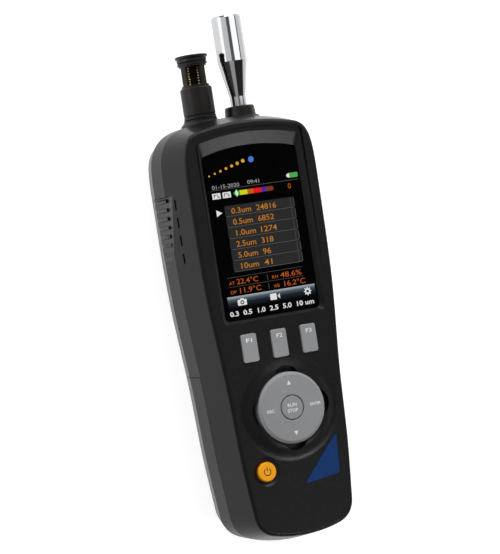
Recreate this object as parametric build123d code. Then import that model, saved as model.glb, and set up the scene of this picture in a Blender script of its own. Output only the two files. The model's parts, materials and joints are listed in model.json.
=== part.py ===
from build123d import *
import math
import os

os.makedirs("parts", exist_ok=True)

# Handheld airborne particle counter, lying on its back.
# +X to the right of the display, +Y along the length towards the sensors, +Z out of the display.
# The origin is under the middle of the whole instrument, on the surface it lies on. Millimetres.

# ---------------------------------------------------------------- driving dimensions
BODY_LENGTH = 193.2         # housing, heel to crown
NOZZLE_REACH = 46.8         # nozzle tip beyond the crown
HEEL_Y = -(BODY_LENGTH + NOZZLE_REACH) / 2
CROWN_Y = HEEL_Y + BODY_LENGTH

FACE_Z = 53.5               # front face of the housing
PARTING_Z = 37.0            # joint between front and back shell
WIDEST_Z = 26.0             # level at which the flanks stand out most
WALL = 2.2                  # shell walls
DOOR_WALL = 1.8             # battery door wall
FIT = 0.2                   # clearance between pieces that are laid into each other
MOVE_GAP = 0.35             # clearance round a key that moves
RUN_GAP = 0.08              # clearance of a running fit
SEAT_GAP = 0.1              # play under a piece that lies on another

# outline of the front face: distance from the heel and half width
HEEL_STATION = (15.2, 24.1)
GRIP_STATION = (40.0, 26.3)
WAIST_STATION = (72.7, 27.8)
SHOULDER_STATION = (108.0, 30.5)
HEAD_STATION = (160.0, 31.6)
CHEEK_STATION = (173.0, 31.4)
STATIONS = (HEEL_STATION, GRIP_STATION, WAIST_STATION, SHOULDER_STATION, HEAD_STATION, CHEEK_STATION)
CROWN_ARCH_R = 104.0
CROWN_ARCH_HALF = 24.0
HEEL_ARCH_R = 62.0
HEEL_ARCH_HALF = 15.5

# how far the flanks, the crown and the heel stand outside the front face's outline
PARTING_LEAN = 5.3
WIDEST_LEAN = 6.0
BACK_LEAN = -2.0
CROWN_LEAN = 3.4
HEEL_LEAN = 3.0
BACK_END_LEAN = -3.0
FACE_EDGE_R = 1.5
BACK_EDGE_R = 9.0

# display
LENS_BOTTOM = 102.3         # from the heel
LENS_TOP = 178.9
LENS_HALF = 23.1
LENS_THICK = 1.5
LENS_CORNER_R = 2.0
LENS_ARCH_DROP = 3.2        # the lens corners lie this much below its crown
BEZEL_DEPTH = 1.5           # lens surface below the face
BEZEL_SIDE = 1.9            # slope beside the lens
BEZEL_FOOT = 1.4
BEZEL_CROWN = 6.2
LEDGE = 1.2                 # the lens rests on this rim
LEDGE_THICK = 1.0
FRAME_WALL = 1.6            # wall round the display inside
GROOVE_WIDTH = 2.3
GROOVE_BITE = 0.3           # the groove takes this much off the bezel's upper edge
GROOVE_DEPTH = 1.3
GROOVE_END = 112.0          # where the groove has run out, from the heel
LCD_SIZE = (43.2, 57.6)     # active area
LCD_BORDER = 2.0
LCD_FOOT = 8.0              # connector edge of the module
LCD_THICK = 3.4
LCD_CENTRE = 136.0          # from the heel
LCD_GAP = 0.2

# keys
F_KEY_SIZE = (7.5, 12.7)
F_KEY_PITCH = 14.6
F_KEY_Y = 89.35             # from the heel
F_KEY_CORNER_R = 0.9
KEY_PROUD = 0.8
KEY_FLANGE = 0.9            # retaining flange round a key, width
KEY_FLANGE_THICK = 1.0
KEY_TRAVEL = 0.8
DISC_Y = 60.2               # direction disc, from the heel
DISC_R = 16.0
DISC_PROUD = 3.5
DISC_GAP = 0.45
MOUND_R = 24.0
MOUND_RISE = 1.9
SCALLOP_R = 6.2
SCALLOP_OFFSET = 12.9
RUN_KEY_R = 5.3
POWER_POS = (-15.5, 33.9)   # from the centre line and the heel
POWER_R = 4.3
POWER_DISH_R = 6.6
POWER_DISH_DEPTH = 0.8

# boards
BOARD_THICK = 1.6
MAT_THICK = 1.2

# sensors on the crown
SENSOR_Z = 27.5
NOZZLE_X = 9.7
HUMIDITY_X = -10.3
NOZZLE_R = 6.95
NOZZLE_WALL = 0.75
NOZZLE_BARREL = 21.2
NOZZLE_TAPER = 16.2
NECK_R = 3.8
NECK_BORE_R = 2.3
COLLAR_HEIGHT = 5.0
COLLAR_FOOT_R = 7.15
COLLAR_TOP_R = 6.5
BASE_RING_HEIGHT = 1.9
SLEEVE_R = 7.3
SLEEVE_LENGTH = 13.8
CAGE_R = 6.3
CAGE_WALL = 1.3
CAGE_OUT = 14.7             # cap top above the sleeve when the cage is out
CAP_R = 7.5
CAP_THICK = 1.0
WINDOW_LENGTH = 8.6
WINDOW_ANGLE = 62.0
WINDOW_TURN = -24.0         # the windows are turned this far from the face

# grip recess and vents
RECESS_FROM = 129.8         # from the heel
RECESS_TO = 161.4
RECESS_DEPTH_TOP = 2.2
RECESS_DEPTH_FOOT = 0.5
RECESS_LOW_Z = 12.0
RECESS_HIGH_Z = 43.6
RIB_COUNT = 8
RIB_R = 0.95
RIB_HIGH_Z = 35.4
VENT_COUNT = 4
VENT_PITCH = 8.05
VENT_LENGTH = 4.8
VENT_WIDTH = 1.1
VENT_FIRST = 132.9          # from the heel
VENT_Z = 43.0

# battery compartment
DOOR_SPLIT = 79.4           # upper edge of the battery door, from the heel
DOOR_GAP = 0.3
TUB_WALL = 1.4
TUB_FLOOR_Z = 21.0
TUB_LOW_Z = 3.5
BULKHEAD = 1.6
PACK_SIZE = (38.0, 52.0, 16.5)
PACK_CENTRE = 51.0          # from the heel
PACK_CORNER_R = 4.0
CONTACT_SIZE = (4.0, 1.2, 8.0)
CONTACT_PITCH = 7.0
DOOR_SCREW_Y = 17.5         # from the heel

# screws: radius, head, bosses
SCREW_R = 1.4
SCREW_HOLE_R = 1.6
SCREW_HEAD_R = 2.7
SCREW_HEAD_HEIGHT = 1.8
COUNTERBORE_R = 3.0
BOSS_R = 3.6
BOSS_REACH = 11.0           # thread length in the front shell's bosses
CROWN_SCREW = (19.0, 172.0)
HEEL_SCREW = (17.5, 18.0)
CROWN_HEAD_Z = 8.0
BOARD_SCREW_R = 0.9
BOARD_POST_R = 2.3
BOARD_POSTS = ((27.6, 112.0), (27.6, 160.0), (21.5, 44.0))

# flat pad inside the crown that carries both sensor fittings
CROWN_PAD = 5.0
CROWN_PAD_HALF = 21.0
CROWN_PAD_LOW_Z = 17.0

# tripod bush and camera in the back
BUSH_Y = 118.0
BUSH_R = 4.8
BUSH_LENGTH = 10.0
BUSH_SINK = 0.4
BUSH_BOSS_WALL = 2.2
TRIPOD_CORE_R = 2.65        # core of a 1/4 inch camera thread
TRIPOD_DEPTH = 8.5
CAMERA_Y = 166.0
CAMERA_WINDOW_R = 5.6
CAMERA_WINDOW_THICK = 1.2
CAMERA_SINK = 0.5
CAMERA_SEAT = 0.9
CAMERA_BARREL_R = 4.0
CAMERA_BARREL = 5.5
CAMERA_BOARD = 15.0
CAMERA_BOARD_THICK = 1.2

# air path
CHAMBER_SIZE = (32.0, 32.0, 22.0)
CHAMBER_X = 7.0
CHAMBER_Y = 146.0           # middle, from the heel
CHAMBER_Z = 27.5
LASER_R = 5.0
LASER_LENGTH = 22.0
LASER_SINK = 6.0
LASER_WINDOW_R = 1.2
TRAP_R = 6.0
TRAP_BORE_R = 3.0
TRAP_DEPTH = 5.0
TRAP_LENGTH = 7.0
TRAP_SINK = 2.0
TUBE_R = 4.4
TUBE_BORE_R = 3.2
BARB_R = 3.15
BARB_LENGTH = 5.0
DETECTOR_SIZE = (18.0, 20.0, 1.4)
PUMP_HEAD_SIZE = (24.0, 16.0, 20.0)
PUMP_HEAD_Y = 109.0
PUMP_MOTOR_R = 9.5
PUMP_MOTOR_LENGTH = 19.0
CRADLE_WIDTH = 12.0
CRADLE_THICK = 5.0
FILTER_R = 7.5
FILTER_LENGTH = 16.0
FILTER_POS = (-22.5, 109.0)
SOUNDER_R = 6.0
SOUNDER_HEIGHT = 4.5
SOUNDER_POS = (12.0, 60.0)
MESH_THICK = 0.4

# sockets behind the rubber cover on the right flank
COVER_FROM = 99.0           # from the heel
COVER_TO = 127.0
COVER_LOW_Z = 22.0
COVER_HIGH_Z = 35.0
COVER_FLOOR_X = 33.0
COVER_GAP = 0.25
COVER_NAIL_GAP = 0.4        # more room under the lower edge, to swing it out
COVER_CORNER_R = 2.0
BAY_DEPTH = 3.0
SOCKET_GAP = 0.2
USB_SIZE = (8.0, 4.4)
CARD_SIZE = (12.5, 2.4)
POWER_SOCKET_R = 3.6
POWER_SOCKET_BORE_R = 2.75

# triangular overlay on the face, x and distance from the heel
OVERLAY_CORNERS = ((20.9, 45.6), (19.5, 27.1), (1.9, 25.2))
OVERLAY_THICK = 0.35
OVERLAY_SINK = 0.15


# ---------------------------------------------------------------- helpers
def along(distance):
    """Y of a distance measured from the heel."""
    return HEEL_Y + distance


def block(x_low, x_high, y_low, y_high, z_low, z_high):
    box = Box(x_high - x_low, y_high - y_low, z_high - z_low)
    return Pos((x_low + x_high) / 2, (y_low + y_high) / 2, (z_low + z_high) / 2) * box


def post(x, y, z_low, z_high, radius):
    return Pos(x, y, (z_low + z_high) / 2) * Cylinder(radius, z_high - z_low)


def rod_x(x_low, x_high, y, z, radius):
    return Pos((x_low + x_high) / 2, y, z) * Rot(0, 90, 0) * Cylinder(radius, x_high - x_low)


def rod_y(x, y_low, y_high, z, radius):
    return Pos(x, (y_low + y_high) / 2, z) * Rot(90, 0, 0) * Cylinder(radius, y_high - y_low)


def tube_y(x, y_low, y_high, z, radius, bore):
    return rod_y(x, y_low, y_high, z, radius) - rod_y(x, y_low - 1, y_high + 1, z, bore)


def turned_y(profile, x, z):
    """Solid turned round a line along Y; the profile gives (radius, y) pairs."""
    outline = make_face(Polyline(*[(radius, y) for radius, y in profile], close=True))
    return Pos(x, 0, z) * revolve(outline, Axis.Y)


def turned_z(profile, x, y):
    """Solid turned round a line along Z; the profile gives (radius, z) pairs."""
    outline = make_face(Polyline(*[(radius, 0, z) for radius, z in profile], close=True))
    return Pos(x, y, 0) * revolve(outline, Axis.Z)


def rounded_plate(x, y, width, length, z_low, z_high, radius):
    return Pos(x, y, z_low) * extrude(RectangleRounded(width, length, radius), z_high - z_low)


def outline(z, lean, crown_lean, heel_lean, inset=0.0):
    """Outline of the housing at one level, as a face."""
    grow = lean - inset
    right = [Vector(half + grow, along(d), z) for d, half in STATIONS]
    crown_y = along(BODY_LENGTH) - CROWN_LEAN + crown_lean - inset
    heel_y = along(HEEL_LEAN) - heel_lean + inset
    crown_half = CROWN_ARCH_HALF - 0.5 * inset
    heel_half = HEEL_ARCH_HALF + 0.6 * lean - 0.5 * inset
    crown_end = Vector(crown_half, crown_y - crown_half**2 / (2 * CROWN_ARCH_R), z)
    heel_end = Vector(heel_half, heel_y + heel_half**2 / (2 * HEEL_ARCH_R), z)
    crown_slope = Vector(-1, crown_half / CROWN_ARCH_R, 0)
    heel_slope = Vector(1, heel_half / HEEL_ARCH_R, 0)
    side_start = Vector(0.09, 1, 0)
    side_end = Vector(-0.06, 1, 0)
    heel_corner = Edge.make_spline([heel_end, right[0]], tangents=[heel_slope, side_start])
    side = Edge.make_spline(right, tangents=[side_start, side_end])
    crown_corner = Edge.make_spline([right[-1], crown_end], tangents=[side_end, crown_slope])
    half = [heel_corner, side, crown_corner]
    crown = Edge.make_three_point_arc(crown_end, Vector(0, crown_y, z), Vector(-crown_end.X, crown_end.Y, z))
    heel = Edge.make_three_point_arc(heel_end, Vector(0, heel_y, z), Vector(-heel_end.X, heel_end.Y, z))
    mirrored = [edge.mirror(Plane.YZ) for edge in half]
    return Face(Wire([*half, crown, *mirrored, heel]))


def parting_outline(z=PARTING_Z, inset=0.0):
    return outline(z, PARTING_LEAN, CROWN_LEAN, HEEL_LEAN, inset)


def back_body(inset=0.0, low_z=0.0):
    """Back half of the housing as a full body, or its hollow when inset."""
    back = outline(low_z, BACK_LEAN, BACK_END_LEAN, BACK_END_LEAN, inset)
    widest = outline(WIDEST_Z, WIDEST_LEAN, CROWN_LEAN, HEEL_LEAN, inset)
    top = parting_outline(inset=inset)
    lower = loft([back, widest], ruled=True)
    upper = loft([widest, top], ruled=True)
    radius = max(BACK_EDGE_R - inset, 1.0)
    lower = fillet(lower.faces().sort_by(Axis.Z)[0].outer_wire().edges(), radius)
    return lower + upper


def front_body(inset=0.0):
    """Front half of the housing as a full body, or its hollow when inset."""
    high_z = FACE_Z - inset
    face = outline(high_z, 0, 0, 0, inset)
    body = loft([parting_outline(inset=inset), face], ruled=True)
    radius = max(FACE_EDGE_R - inset, 0.5)
    return fillet(body.faces().sort_by(Axis.Z)[-1].outer_wire().edges(), radius)


def save(shape, node):
    export_step(shape, f"parts/{node}.step")


# ---------------------------------------------------------------- shared levels
CEILING_Z = FACE_Z - WALL
LENS_TOP_Z = FACE_Z - BEZEL_DEPTH
LENS_LOW_Z = LENS_TOP_Z - LENS_THICK
LEDGE_LOW_Z = LENS_LOW_Z - LEDGE_THICK
LCD_TOP_Z = LEDGE_LOW_Z - LCD_GAP
BOARD_TOP_Z = LCD_TOP_Z - LCD_THICK
BOARD_LOW_Z = BOARD_TOP_Z - BOARD_THICK
MAT_TOP_Z = BOARD_TOP_Z + MAT_THICK
FLANGE_TOP_Z = CEILING_Z - SEAT_GAP
FLANGE_LOW_Z = FLANGE_TOP_Z - KEY_FLANGE_THICK
STEM_LOW_Z = MAT_TOP_Z + KEY_TRAVEL + SEAT_GAP
DISC_TOP_Z = FACE_Z + DISC_PROUD
DISC_CENTRE_Y = along(DISC_Y)
POWER_X = POWER_POS[0]
POWER_Y = along(POWER_POS[1])
SPLIT_Y = along(DOOR_SPLIT)
F_KEY_XS = (-F_KEY_PITCH, 0.0, F_KEY_PITCH)
SIDES = (-1, 1)
PAD_FACE_Y = CROWN_Y - CROWN_PAD


# ---------------------------------------------------------------- display
def lens_outline(z, side=0.0, foot=0.0, crown=0.0):
    """Arched outline of the lens at one level, grown at the sides, the foot and the crown."""
    half = LENS_HALF + side
    low = along(LENS_BOTTOM) - foot
    high = along(LENS_TOP) + crown
    shoulder = high - LENS_ARCH_DROP
    path = [
        Line((-half, shoulder), (-half, low)),
        Line((-half, low), (half, low)),
        Line((half, low), (half, shoulder)),
        ThreePointArc((half, shoulder), (0, high), (-half, shoulder)),
    ]
    face = make_face(path)
    return Pos(0, 0, z) * fillet(face.vertices(), LENS_CORNER_R)


def lens_slab(z_low, z_high, grow):
    return extrude(lens_outline(z_low, grow, grow, grow), z_high - z_low)


def display_lens():
    return lens_slab(LENS_LOW_Z, LENS_TOP_Z, 0)


def lcd_module():
    width = LCD_SIZE[0] + 2 * LCD_BORDER
    low = along(LCD_CENTRE) - LCD_SIZE[1] / 2 - LCD_FOOT
    high = along(LCD_CENTRE) + LCD_SIZE[1] / 2 + LCD_BORDER
    body = block(-width / 2, width / 2, low, high, BOARD_TOP_Z, LCD_TOP_Z)
    return chamfer(body.edges().filter_by(Axis.Z), 1.0)


def bezel_cut():
    face_level = lens_outline(FACE_Z, BEZEL_SIDE, BEZEL_FOOT, BEZEL_CROWN)
    lens_level = lens_outline(LENS_TOP_Z, FIT, FIT, FIT)
    slope = loft([lens_level.face(), face_level.face()], ruled=True)
    pocket = lens_slab(LENS_LOW_Z, LENS_TOP_Z, FIT)
    window = lens_slab(LEDGE_LOW_Z - 1, LENS_LOW_Z, -LEDGE)
    return [slope, pocket, window]


def groove_cut():
    """Horseshoe groove round the bezel that runs out towards the keys."""
    inner = -GROOVE_BITE
    outer = GROOVE_WIDTH - GROOVE_BITE
    low = FACE_Z - 2 * GROOVE_DEPTH
    ring = extrude(lens_outline(low, BEZEL_SIDE + outer, outer, BEZEL_CROWN + outer), 4 * GROOVE_DEPTH)
    ring -= extrude(lens_outline(low, BEZEL_SIDE + inner, inner, BEZEL_CROWN + inner), 4 * GROOVE_DEPTH)
    start = along(GROOVE_END)
    wedge = Polyline(
        (0, start, FACE_Z),
        (0, CROWN_Y, FACE_Z - GROOVE_DEPTH),
        (0, CROWN_Y, FACE_Z + 1),
        (0, start, FACE_Z + 1),
        close=True,
    )
    reach = 2 * LENS_HALF
    return ring & extrude(make_face(wedge), reach, both=True)


# ---------------------------------------------------------------- keys
def key_spots():
    """Centres of the domes under the keys."""
    spots = [(x, along(F_KEY_Y)) for x in F_KEY_XS]
    spots.append((0, DISC_CENTRE_Y))
    spots.append((POWER_X, POWER_Y))
    press = DISC_R - 3.0
    spots += [(press * math.cos(a), DISC_CENTRE_Y + press * math.sin(a)) for a in quarter_turns()]
    return spots


def quarter_turns():
    return [math.pi / 2 * k for k in range(4)]


def f_key(x):
    width, length = F_KEY_SIZE
    y = along(F_KEY_Y)
    cap = rounded_plate(x, y, width, length, FLANGE_LOW_Z, FACE_Z + KEY_PROUD, F_KEY_CORNER_R)
    cap = fillet(cap.faces().sort_by(Axis.Z)[-1].edges(), 0.4)
    flange = rounded_plate(
        x, y, width + 2 * KEY_FLANGE, length + 2 * KEY_FLANGE, FLANGE_LOW_Z, FLANGE_TOP_Z, F_KEY_CORNER_R
    )
    stem = rounded_plate(x, y, width / 2, length / 2, STEM_LOW_Z, FLANGE_LOW_Z, F_KEY_CORNER_R)
    return cap + flange + stem


def power_button():
    top = FACE_Z + KEY_PROUD
    profile = [
        (0, STEM_LOW_Z),
        (POWER_R / 2, STEM_LOW_Z),
        (POWER_R / 2, FLANGE_LOW_Z),
        (POWER_R + KEY_FLANGE, FLANGE_LOW_Z),
        (POWER_R + KEY_FLANGE, FLANGE_TOP_Z),
        (POWER_R, FLANGE_TOP_Z),
        (POWER_R, top - 0.4),
        (POWER_R - 0.4, top),
        (0, top),
    ]
    return turned_z(profile, POWER_X, POWER_Y)


DISC_HOLE_R = RUN_KEY_R + MOVE_GAP
DISC_FLANGE_R = DISC_R + 1.4
DISC_FLANGE_TOP_Z = CEILING_Z - 1.3
DISC_LOW_Z = DISC_FLANGE_TOP_Z - KEY_FLANGE_THICK
DISC_PLATE = 2.3
DISC_WALL = 1.4
RUN_FLANGE_R = RUN_KEY_R + 1.3
HUB_BORE_R = RUN_FLANGE_R + 0.8
HUB_R = HUB_BORE_R + 2.8
HUB_SHOULDER_Z = DISC_LOW_Z + 2.2
ROCKER_TOP_Z = DISC_LOW_Z - DISC_GAP
ROCKER_THICK = 1.0


def direction_disc():
    profile = [
        (DISC_HOLE_R, HUB_SHOULDER_Z),
        (DISC_HOLE_R, DISC_TOP_Z - 0.3),
        (DISC_HOLE_R + 0.3, DISC_TOP_Z),
        (DISC_R - 1.2, DISC_TOP_Z),
        (DISC_R, DISC_TOP_Z - 0.8),
        (DISC_R, DISC_FLANGE_TOP_Z),
        (DISC_FLANGE_R, DISC_FLANGE_TOP_Z),
        (DISC_FLANGE_R, DISC_LOW_Z),
        (DISC_R - DISC_WALL, DISC_LOW_Z),
        (DISC_R - DISC_WALL, DISC_TOP_Z - DISC_PLATE),
        (HUB_R, DISC_TOP_Z - DISC_PLATE),
        (HUB_R, DISC_LOW_Z),
        (HUB_BORE_R, DISC_LOW_Z),
        (HUB_BORE_R, HUB_SHOULDER_Z),
    ]
    return turned_z(profile, 0, DISC_CENTRE_Y)


def disc_rocker():
    low = ROCKER_TOP_Z - ROCKER_THICK
    ring = post(0, DISC_CENTRE_Y, low, ROCKER_TOP_Z, HUB_R)
    return ring - post(0, DISC_CENTRE_Y, low - 1, ROCKER_TOP_Z + 1, HUB_BORE_R)


def run_stop_key():
    flange_top = HUB_SHOULDER_Z - DISC_GAP
    flange_low = flange_top - KEY_FLANGE_THICK
    profile = [
        (0, STEM_LOW_Z),
        (RUN_KEY_R / 2, STEM_LOW_Z),
        (RUN_KEY_R / 2, flange_low),
        (RUN_FLANGE_R, flange_low),
        (RUN_FLANGE_R, flange_top),
        (RUN_KEY_R, flange_top),
        (RUN_KEY_R, DISC_TOP_Z - 0.3),
        (RUN_KEY_R - 0.3, DISC_TOP_Z),
        (0, DISC_TOP_Z),
    ]
    return turned_z(profile, 0, DISC_CENTRE_Y)


DOME_R = 2.6
DOME_HEIGHT = 0.5


def keypad_mat():
    thick = MAT_TOP_Z - BOARD_TOP_Z
    strip_width = 2 * F_KEY_PITCH + F_KEY_SIZE[0] + 2
    strip = rounded_plate(0, along(F_KEY_Y), strip_width, F_KEY_SIZE[1] + 1, BOARD_TOP_Z, MAT_TOP_Z, 2)
    pad = post(0, DISC_CENTRE_Y, BOARD_TOP_Z, MAT_TOP_Z, DISC_FLANGE_R)
    power = post(POWER_X, POWER_Y, BOARD_TOP_Z, MAT_TOP_Z, POWER_R + 1.5)
    bridge = block(-8, 8, DISC_CENTRE_Y, along(F_KEY_Y), BOARD_TOP_Z, MAT_TOP_Z)
    link = block(POWER_X, POWER_X + 6, POWER_Y, DISC_CENTRE_Y, BOARD_TOP_Z, MAT_TOP_Z)
    mat = strip + pad + power + bridge + link
    for x, y in key_spots():
        mat -= post(x, y, BOARD_TOP_Z - thick, BOARD_TOP_Z + DOME_HEIGHT + SEAT_GAP, DOME_R + FIT)
    return mat


def dome_switches():
    return Compound([post(x, y, BOARD_TOP_Z, BOARD_TOP_Z + DOME_HEIGHT, DOME_R) for x, y in key_spots()])


# ---------------------------------------------------------------- front shell
def mound():
    """Raised ring that the direction disc sits in, with its finger scallops."""
    land = DISC_R + 1.2
    top = FACE_Z + MOUND_RISE
    slope = Edge.make_spline(
        [Vector(land, 0, top), Vector(MOUND_R, 0, FACE_Z)], tangents=[(1, 0, -0.2), (1, 0, -0.05)]
    )
    foot = Polyline((MOUND_R, 0, FACE_Z), (MOUND_R, 0, FACE_Z - 0.5), (0, 0, FACE_Z - 0.5), (0, 0, top), (land, 0, top))
    body = Pos(0, DISC_CENTRE_Y, 0) * revolve(make_face([slope, *foot.edges()]), Axis.Z)
    for turn in quarter_turns():
        x = SCALLOP_OFFSET * math.cos(turn)
        y = DISC_CENTRE_Y + SCALLOP_OFFSET * math.sin(turn)
        body -= post(x, y, FACE_Z - 1, top + 1, SCALLOP_R)
    return body


def slot_x(x_low, x_high, y, z, length, width):
    sketch = Plane(origin=(x_low, y, z), x_dir=(0, 1, 0), z_dir=(1, 0, 0)) * SlotOverall(length, width)
    return extrude(sketch, x_high - x_low)


def recess_x(distance):
    """X of the flat floor of the grip recess, which is slanted along the length."""
    share = (distance - RECESS_FROM) / (RECESS_TO - RECESS_FROM)
    depth = RECESS_DEPTH_FOOT + share * (RECESS_DEPTH_TOP - RECESS_DEPTH_FOOT)
    return HEAD_STATION[1] + WIDEST_LEAN - depth


def recess_cut(side):
    out = side * (HEAD_STATION[1] + 20)
    corners = Polyline(
        (side * recess_x(RECESS_FROM), along(RECESS_FROM), RECESS_LOW_Z),
        (side * recess_x(RECESS_TO), along(RECESS_TO), RECESS_LOW_Z),
        (out, along(RECESS_TO), RECESS_LOW_Z),
        (out, along(RECESS_FROM), RECESS_LOW_Z),
        close=True,
    )
    return extrude(make_face(corners), RECESS_HIGH_Z - RECESS_LOW_Z, dir=(0, 0, 1))


def screw_spots():
    return [(side * x, along(d)) for side in SIDES for x, d in (CROWN_SCREW, HEEL_SCREW)]


def board_post_spots():
    return [(side * x, along(d)) for side in SIDES for x, d in BOARD_POSTS]


def front_shell(outer, hollow):
    shell = outer - hollow
    frame = lens_slab(LEDGE_LOW_Z, FACE_Z - 0.5, FRAME_WALL)
    shell += frame & outer
    shell += mound()
    for x, y in screw_spots():
        shell += post(x, y, PARTING_Z, CEILING_Z + 0.5, BOSS_R)
    for x, y in board_post_spots():
        shell += post(x, y, BOARD_TOP_Z, CEILING_Z + 0.5, BOARD_POST_R)
    for cut in bezel_cut():
        shell -= cut
    shell -= groove_cut()
    hole_width = F_KEY_SIZE[0] + 2 * MOVE_GAP
    hole_length = F_KEY_SIZE[1] + 2 * MOVE_GAP
    for x in F_KEY_XS:
        shell -= rounded_plate(x, along(F_KEY_Y), hole_width, hole_length,
                               CEILING_Z - 1, FACE_Z + 1, F_KEY_CORNER_R)
    shell -= post(0, DISC_CENTRE_Y, CEILING_Z - 1, DISC_TOP_Z, DISC_R + DISC_GAP)
    for turn in quarter_turns():
        x = SCALLOP_OFFSET * math.cos(turn)
        y = DISC_CENTRE_Y + SCALLOP_OFFSET * math.sin(turn)
        shell -= post(x, y, FACE_Z - 1, DISC_TOP_Z, SCALLOP_R)
    shell -= post(POWER_X, POWER_Y, CEILING_Z - 1, FACE_Z + 1, POWER_R + MOVE_GAP)
    dish_z = FACE_Z - POWER_DISH_DEPTH
    dish = [(0, dish_z), (POWER_R + 0.8, dish_z), (POWER_DISH_R, FACE_Z + 0.01), (0, FACE_Z + 0.01)]
    shell -= turned_z(dish, POWER_X, POWER_Y)
    shell -= overlay_plate(FIT / 2, 1.0)
    for x, y in screw_spots():
        shell -= post(x, y, PARTING_Z - 1, PARTING_Z + BOSS_REACH, SCREW_R)
    for x, y in board_post_spots():
        shell -= post(x, y, BOARD_TOP_Z - 1, BOARD_TOP_Z + 3.5, BOARD_SCREW_R)
    for side in SIDES:
        shell -= recess_cut(side)
        for k in range(VENT_COUNT):
            y = along(VENT_FIRST + k * VENT_PITCH)
            low = min(side * 28, side * 42)
            shell -= slot_x(low, low + 14, y, VENT_Z, VENT_LENGTH, VENT_WIDTH)
    return shell


def overlay_plate(grow, thick):
    corners = [(x, along(d)) for x, d in OVERLAY_CORNERS]
    sketch = make_face(Polyline(*corners, close=True))
    sketch = fillet(sketch.vertices(), 0.6)
    if grow:
        sketch = offset(sketch, grow)
    return Pos(0, 0, FACE_Z - OVERLAY_SINK) * extrude(sketch, thick)


def corner_overlay():
    return overlay_plate(0, OVERLAY_THICK)


# ---------------------------------------------------------------- back shell and battery door
def ribs(outer):
    """Half-round grip ribs on the floor of each recess."""
    pitch = (RECESS_TO - RECESS_FROM - 4 * RIB_R) / (RIB_COUNT - 1)
    shapes = []
    for side in SIDES:
        for k in range(RIB_COUNT):
            d = RECESS_FROM + 2 * RIB_R + k * pitch
            rib = post(side * (recess_x(d) - 0.1), along(d), RECESS_LOW_Z, RIB_HIGH_Z, RIB_R)
            shapes.append(rib & outer)
    return shapes


def above_split(shape):
    return shape & block(-60, 60, SPLIT_Y, CROWN_Y + 20, -5, 60)


def battery_tub():
    """Walls and floor of the battery compartment, under the door."""
    skin = DOOR_WALL + DOOR_GAP
    outside = back_body(skin, skin)
    inside = back_body(skin + TUB_WALL, skin + TUB_WALL)
    walls = outside - inside
    floor = outside & block(-60, 60, HEEL_Y, SPLIT_Y + 1, TUB_FLOOR_Z, TUB_FLOOR_Z + TUB_WALL)
    tub = walls & block(-60, 60, HEEL_Y, SPLIT_Y + BULKHEAD, TUB_LOW_Z, PARTING_Z)
    return tub + floor


def back_shell(outer, hollow):
    shell = above_split(outer - hollow)
    bulkhead = block(-60, 60, SPLIT_Y, SPLIT_Y + BULKHEAD, -5, 60)
    shell += bulkhead & outer & block(-60, 60, SPLIT_Y - 5, CROWN_Y, -1, TUB_FLOOR_Z + TUB_WALL)
    shell += battery_tub()
    for side in SIDES:
        crown_x, crown_d = side * CROWN_SCREW[0], along(CROWN_SCREW[1])
        shell += post(crown_x, crown_d, WALL / 2, PARTING_Z, BOSS_R)
        heel_x, heel_d = side * HEEL_SCREW[0], along(HEEL_SCREW[1])
        shell += post(heel_x, heel_d, TUB_FLOOR_Z, PARTING_Z, BOSS_R)
    shell += post(0, along(DOOR_SCREW_Y), 2 * WALL + DOOR_GAP, TUB_FLOOR_Z + 1, BOSS_R)
    shell += post(0, along(BUSH_Y), WALL / 2, BUSH_LENGTH + WALL, BUSH_R + BUSH_BOSS_WALL)
    seat_top = CAMERA_SINK + CAMERA_WINDOW_THICK + CAMERA_SEAT
    camera_y = along(CAMERA_Y)
    shell += post(0, camera_y, WALL / 2, seat_top, CAMERA_WINDOW_R + 2)
    pad = block(-CROWN_PAD_HALF, CROWN_PAD_HALF, PAD_FACE_Y, CROWN_Y + 5, CROWN_PAD_LOW_Z, PARTING_Z)
    shell += pad & outer
    for x in (NOZZLE_X, HUMIDITY_X):
        shell += crown_flare(x)
    shell += port_bay(outer)
    for side in SIDES:
        shell -= recess_cut(side)
    for rib in ribs(outer):
        shell += rib
    for side in SIDES:
        crown_x, crown_d = side * CROWN_SCREW[0], along(CROWN_SCREW[1])
        shell -= post(crown_x, crown_d, -1, CROWN_HEAD_Z, COUNTERBORE_R)
        shell -= post(crown_x, crown_d, -1, PARTING_Z + 1, SCREW_HOLE_R)
        heel_x, heel_d = side * HEEL_SCREW[0], along(HEEL_SCREW[1])
        shell -= post(heel_x, heel_d, TUB_FLOOR_Z - 1, PARTING_Z + 1, SCREW_HOLE_R)
    shell -= post(0, along(DOOR_SCREW_Y), 0, TUB_FLOOR_Z - 1, SCREW_R)
    shell -= post(0, along(BUSH_Y), -1, BUSH_SINK + BUSH_LENGTH, BUSH_R)
    shell -= post(0, camera_y, -1, CAMERA_SINK + CAMERA_WINDOW_THICK, CAMERA_WINDOW_R + FIT / 2)
    shell -= post(0, camera_y, -1, seat_top + 1, CAMERA_BARREL_R + FIT)
    shell -= rod_y(HUMIDITY_X, CROWN_Y - 12, CROWN_Y + 5, SENSOR_Z, GUIDE_R + FIT / 2)
    shell -= rod_y(NOZZLE_X, CROWN_Y - 12, CROWN_Y + 5, SENSOR_Z, COLLAR_BARREL_R + FIT / 2)
    for cut in port_cuts():
        shell -= cut
    return shell


def crown_flare(x):
    profile = [
        (0, PAD_FACE_Y),
        (FLARE_R, PAD_FACE_Y),
        (FLARE_R, CROWN_Y - 1.2),
        (FLARE_R - 1.3, FLARE_TOP_Y),
        (0, FLARE_TOP_Y),
    ]
    return turned_y(profile, x, SENSOR_Z)


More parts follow.
